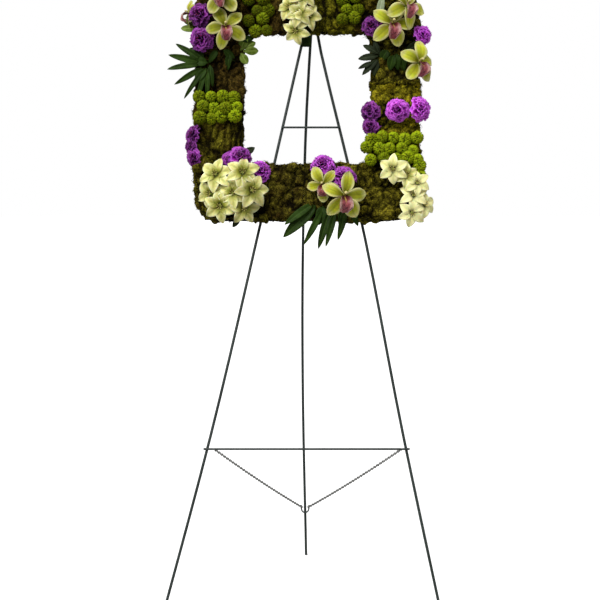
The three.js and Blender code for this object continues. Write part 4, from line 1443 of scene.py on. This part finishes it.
class WREATH_OT_button_mums(Operator):
    """Adds the rows of lime green button mums"""

    bl_idname = "wreath.button_mums"
    bl_label = "Button mums"

    def execute(self, context):
        settings = context.scene.wreath_flowers
        plant_material("button_mum", settings.lime_shade, settings.lime, display(112, 124, 20), (0.55, 0.8),
                       Specular_IOR_Level=0.06, Subsurface_Weight=0.1, Subsurface_Scale=0.002)
        floret = floret_mesh()
        for node, (across, up, columns, rows, aside, left_tint, right_tint, lone) in MUM_ROWS.items():
            chance = random.Random(node)
            bm = bmesh.new()
            heads = [
                (across + column * MUM_PITCH[0] + (row % 2) * aside, up - row * MUM_PITCH[1],
                 ((row + 2 * column) % 3) * 3 - 3)
                for row in range(rows) for column in range(columns)
            ]
            heads += [(x, y, -6) for x, y in lone]
            for x, y, lift in heads:
                rightward = clamped((x - across) / (columns * MUM_PITCH[0]))
                tint = left_tint + (right_tint - left_tint) * rightward + chance.uniform(-0.2, 0.2)
                place = on_wreath(
                    x + chance.uniform(-4, 4), y + chance.uniform(-4, 4), lift + chance.uniform(-1, 1),
                    chance.uniform(-12, 12), chance.uniform(-12, 12), chance.uniform(0, 360),
                )
                scaled = place @ Matrix.Scale(chance.uniform(0.9, 1.16), 4)
                button_mum(bm, floret, scaled, settings.mum_petals, tint, chance)
            finish_piece(f"{node}_flowers", bm, ["button_mum"], nodes=[node])
        bpy.data.meshes.remove(floret)
        return {"FINISHED"}


# ---- Leaves --------------------------------------------------------------------------------

LEAF_CLUSTERS = {
    # kind, lift, then each blade's root across and up, its reach across and up, and its width
    "palm_leaf_left": ("palm_leaf", 5, [
        (-256, 98, -56, 36, 15), (-258, 90, -70, 14, 17), (-258, 82, -72, -8, 17), (-252, 74, -60, -40, 15),
        (-248, 66, -44, -62, 12), (-242, 62, -22, -70, 12), (-234, 64, -4, -64, 11), (-246, 98, -32, 28, 20),
        (-240, 72, -30, -36, 18), (-238, 88, -34, 4, 22), (-230, 80, 4, -48, 16)]),
    "palm_leaf_bottom": ("palm_leaf", 0, [
        (18, -254, -74, -72, 30), (12, -250, -66, -46, 20), (34, -266, -40, -80, 16),
        (52, -268, -26, -86, 19), (66, -268, -22, -82, 16), (90, -262, -16, -72, 17),
        (104, -262, 14, -38, 16), (38, -256, -12, -40, 26), (84, -258, -4, -50, 20)]),
    "round_leaves": ("round_leaf", 2, [
        (-157, 120, 10, 30, 22), (-151, 122, 27, 18, 20), (-149, 116, 33, 0, 20), (-156, 110, 12, -24, 20)]),
    "dark_leaves": ("shade_leaf", 2, [
        (168, 96, -38, -34, 16), (166, 104, -44, -4, 18), (170, 110, -36, 22, 16), (172, 108, -14, 32, 14),
        (168, 96, -10, -38, 15), (158, 90, -36, -14, 12)]),
}
BLADES = {
    # across segments, along segments, droop, fold, saw edge, widest at, fullness
    "palm_leaf": (6, 14, 0.012, 0.3, 0.0, 0.4, 0.62),
    "round_leaf": (8, 12, 0.008, 0.1, 0.0, 0.55, 0.55),
    "shade_leaf": (8, 14, 0.01, 0.14, 0.04, 0.48, 0.7),
    "sage_leaf": (6, 14, 0.004, 0.12, 0.0, 0.45, 0.7),
}
LOOSE_LEAVES = {
    "shade_leaf_left": ("shade_leaf", 2, [(-148, -132, 22, 20, 18)]),
    "shade_leaf_bottom": ("shade_leaf", -8, [(-160, -280, -14, -22, 14)]),
    "shade_leaf_right": ("shade_leaf", 12, [(232, 112, 44, 26, 20)]),
    "sage_leaf_top": ("sage_leaf", 4, [(170, 196, 10, 56, 18)]),
    "green_leaf_far_left": ("round_leaf", -14, [(-258, 172, -42, 4, 18), (-262, 180, -34, 16, 14)]),
    "filler_leaves_top_left": ("palm_leaf", 2, [
        (-196, 118, 26, -22, 18), (-184, 108, -6, -34, 16), (-214, 116, -20, -26, 16),
        (-150, 140, 24, 12, 16)]),
    "filler_leaves_right": ("palm_leaf", 4, [
        (204, 104, -8, -32, 22), (222, 104, 10, -34, 20), (236, 118, 34, -6, 18), (190, 116, -16, -22, 22),
        (196, 110, -26, -4, 20), (212, 108, 2, -36, 18)]),
}


def leaf_piece(name, kind, lift, blades, nodes=()):
    """Adds a cluster of blades, each from its root on the wreath to its tip."""
    chance = random.Random(name)
    across_cuts, along_cuts, *form = BLADES[kind]
    bm = bmesh.new()
    for across, up, reach_across, reach_up, width in blades:
        shape = blade_shape(math.hypot(reach_across, reach_up) * MM, width * MM / 2, *form)
        heading = math.degrees(math.atan2(reach_up, reach_across)) - 90
        place = on_wreath(across, up, lift + chance.uniform(-2, 2), spin=heading)
        place = place @ turn(chance.uniform(2, 12), "X") @ turn(chance.uniform(-14, 14), "Y")
        merge_into(bm, petal(across_cuts, along_cuts, shape, 0.5 * MM, tint=chance.uniform(0.3, 0.7)), place)
        merge_into(bm, bud(3 * MM, Matrix.Diagonal((1, 1, 0.6, 1))), on_wreath(across, up, lift - 2))
    finish_piece(name, bm, [kind], nodes=nodes)


class WREATH_OT_leaves(Operator):
    """Adds the fingered, round and loose leaves"""

    bl_idname = "wreath.leaves"
    bl_label = "Leaves"

    def execute(self, context):
        settings = context.scene.wreath_leaves
        leaf_material("palm_leaf", settings.palm, settings.palm_vein)
        leaf_material("round_leaf", settings.round_leaf, display(166, 186, 96))
        leaf_material("shade_leaf", settings.shade_leaf, display(64, 74, 52))
        leaf_material("sage_leaf", settings.sage, display(196, 206, 178))
        for node, cluster in LEAF_CLUSTERS.items():
            leaf_piece(f"{node}_blades", *cluster, nodes=[node])
        for name, cluster in LOOSE_LEAVES.items():
            leaf_piece(name, *cluster)
        return {"FINISHED"}


# ---- Stage ---------------------------------------------------------------------------------

FLOOR_HALF = 30
WHITE = (1, 1, 1, 1)
MAIN_LIGHT_FROM = Vector((-0.5, -0.85, 0.95))
CAMERA_ASIDE = -4.7 * MM  # from the middle of the object
CAMERA_PITCH = 85.11  # degrees up from straight down


def add_floor(scene, settings):
    """A pale floor that throws back less light than the camera sees on it."""
    bm = bmesh.new()
    bmesh.ops.create_grid(bm, x_segments=1, y_segments=1, size=FLOOR_HALF)
    floor = bpy.data.objects.new("floor", as_mesh(bm, "floor"))
    tree = new_material(
        "floor_paper", Roughness=0.9, Specular_IOR_Level=0.0, Emission_Color=settings.floor
    )
    seen = add_node(tree, "ShaderNodeLightPath").outputs["Is Camera Ray"]
    feed(tree, tree.nodes["Principled BSDF"], {
        "Base Color": mix(tree, seen, (*[settings.floor_bounce] * 3, 1), settings.floor),
        "Emission Strength": times(tree, seen, settings.floor_glow),
    })
    floor.data.materials.append(MATERIALS["floor_paper"])
    scene.collection.objects.link(floor)


def add_world(scene, settings):
    """Even light from all round, with a white background behind the object."""
    world = bpy.data.worlds.new("studio")
    world.use_nodes = True
    scene.world = world
    tree = world.node_tree
    sky = tree.nodes["Background"]
    feed(tree, sky, {0: WHITE, 1: settings.sky})
    backdrop = add_node(tree, "ShaderNodeBackground", {0: WHITE, 1: 1.0})
    seen = add_node(tree, "ShaderNodeLightPath").outputs["Is Camera Ray"]
    blend = add_node(tree, "ShaderNodeMixShader", {0: seen, 1: sky.outputs[0], 2: backdrop.outputs[0]})
    feed(tree, tree.nodes["World Output"], {0: blend.outputs[0]})


def add_main_light(scene, settings):
    light = bpy.data.lights.new("main_light", "SUN")
    light.energy = settings.sun
    light.angle = settings.sun_size
    lamp = bpy.data.objects.new("main_light", light)
    lamp.rotation_euler = MAIN_LIGHT_FROM.to_track_quat("Z", "Y").to_euler()
    scene.collection.objects.link(lamp)


def add_camera(scene, settings):
    low, high = CAD_BOX
    lens = bpy.data.cameras.new("camera")
    lens.lens = settings.lens
    lens.sensor_width = 36
    camera = bpy.data.objects.new("camera", lens)
    camera.location = ((low.x + high.x) / 2 + CAMERA_ASIDE, low.y - settings.distance, settings.height)
    camera.rotation_euler = (math.radians(CAMERA_PITCH), 0, 0)
    scene.collection.objects.link(camera)
    scene.camera = camera


class WREATH_OT_stage(Operator):
    """Adds the floor, the light and the camera"""

    bl_idname = "wreath.stage"
    bl_label = "Stage"

    def execute(self, context):
        scene = context.scene
        scene.view_settings.view_transform = "Standard"
        for add in (add_floor, add_world, add_main_light, add_camera):
            add(scene, scene.wreath_stage)
        return {"FINISHED"}


# ---- The add-on ----------------------------------------------------------------------------


class WREATH_PT_pieces(Panel):
    """Lists the operators that add each group of pieces"""

    bl_idname = "WREATH_PT_pieces"
    bl_label = "Funeral wreath"
    bl_space_type = "VIEW_3D"
    bl_region_type = "UI"
    bl_category = "Wreath"

    def draw(self, context):
        for operator in OPERATORS:
            self.layout.operator(operator.bl_idname)


SETTINGS = {
    "wreath_wire": WreathWireSettings,
    "wreath_moss": WreathMossSettings,
    "wreath_flowers": WreathFlowerSettings,
    "wreath_leaves": WreathLeafSettings,
    "wreath_stage": WreathStageSettings,
}
OPERATORS = (
    WREATH_OT_easel,
    WREATH_OT_chains,
    WREATH_OT_base,
    WREATH_OT_moss,
    WREATH_OT_orchids,
    WREATH_OT_carnations,
    WREATH_OT_cream_blooms,
    WREATH_OT_button_mums,
    WREATH_OT_leaves,
    WREATH_OT_stage,
)


def register():
    for made in (*SETTINGS.values(), *OPERATORS, WREATH_PT_pieces):
        bpy.utils.register_class(made)
    for name, group in SETTINGS.items():
        setattr(bpy.types.Scene, name, PointerProperty(type=group))


def unregister():
    for name in SETTINGS:
        delattr(bpy.types.Scene, name)
    for made in (WREATH_PT_pieces, *reversed(OPERATORS), *SETTINGS.values()):
        bpy.utils.unregister_class(made)


def main():
    register()
    for operator in OPERATORS:
        group, name = operator.bl_idname.split(".")
        getattr(getattr(bpy.ops, group), name)()


if __name__ == "__main__":
    main()
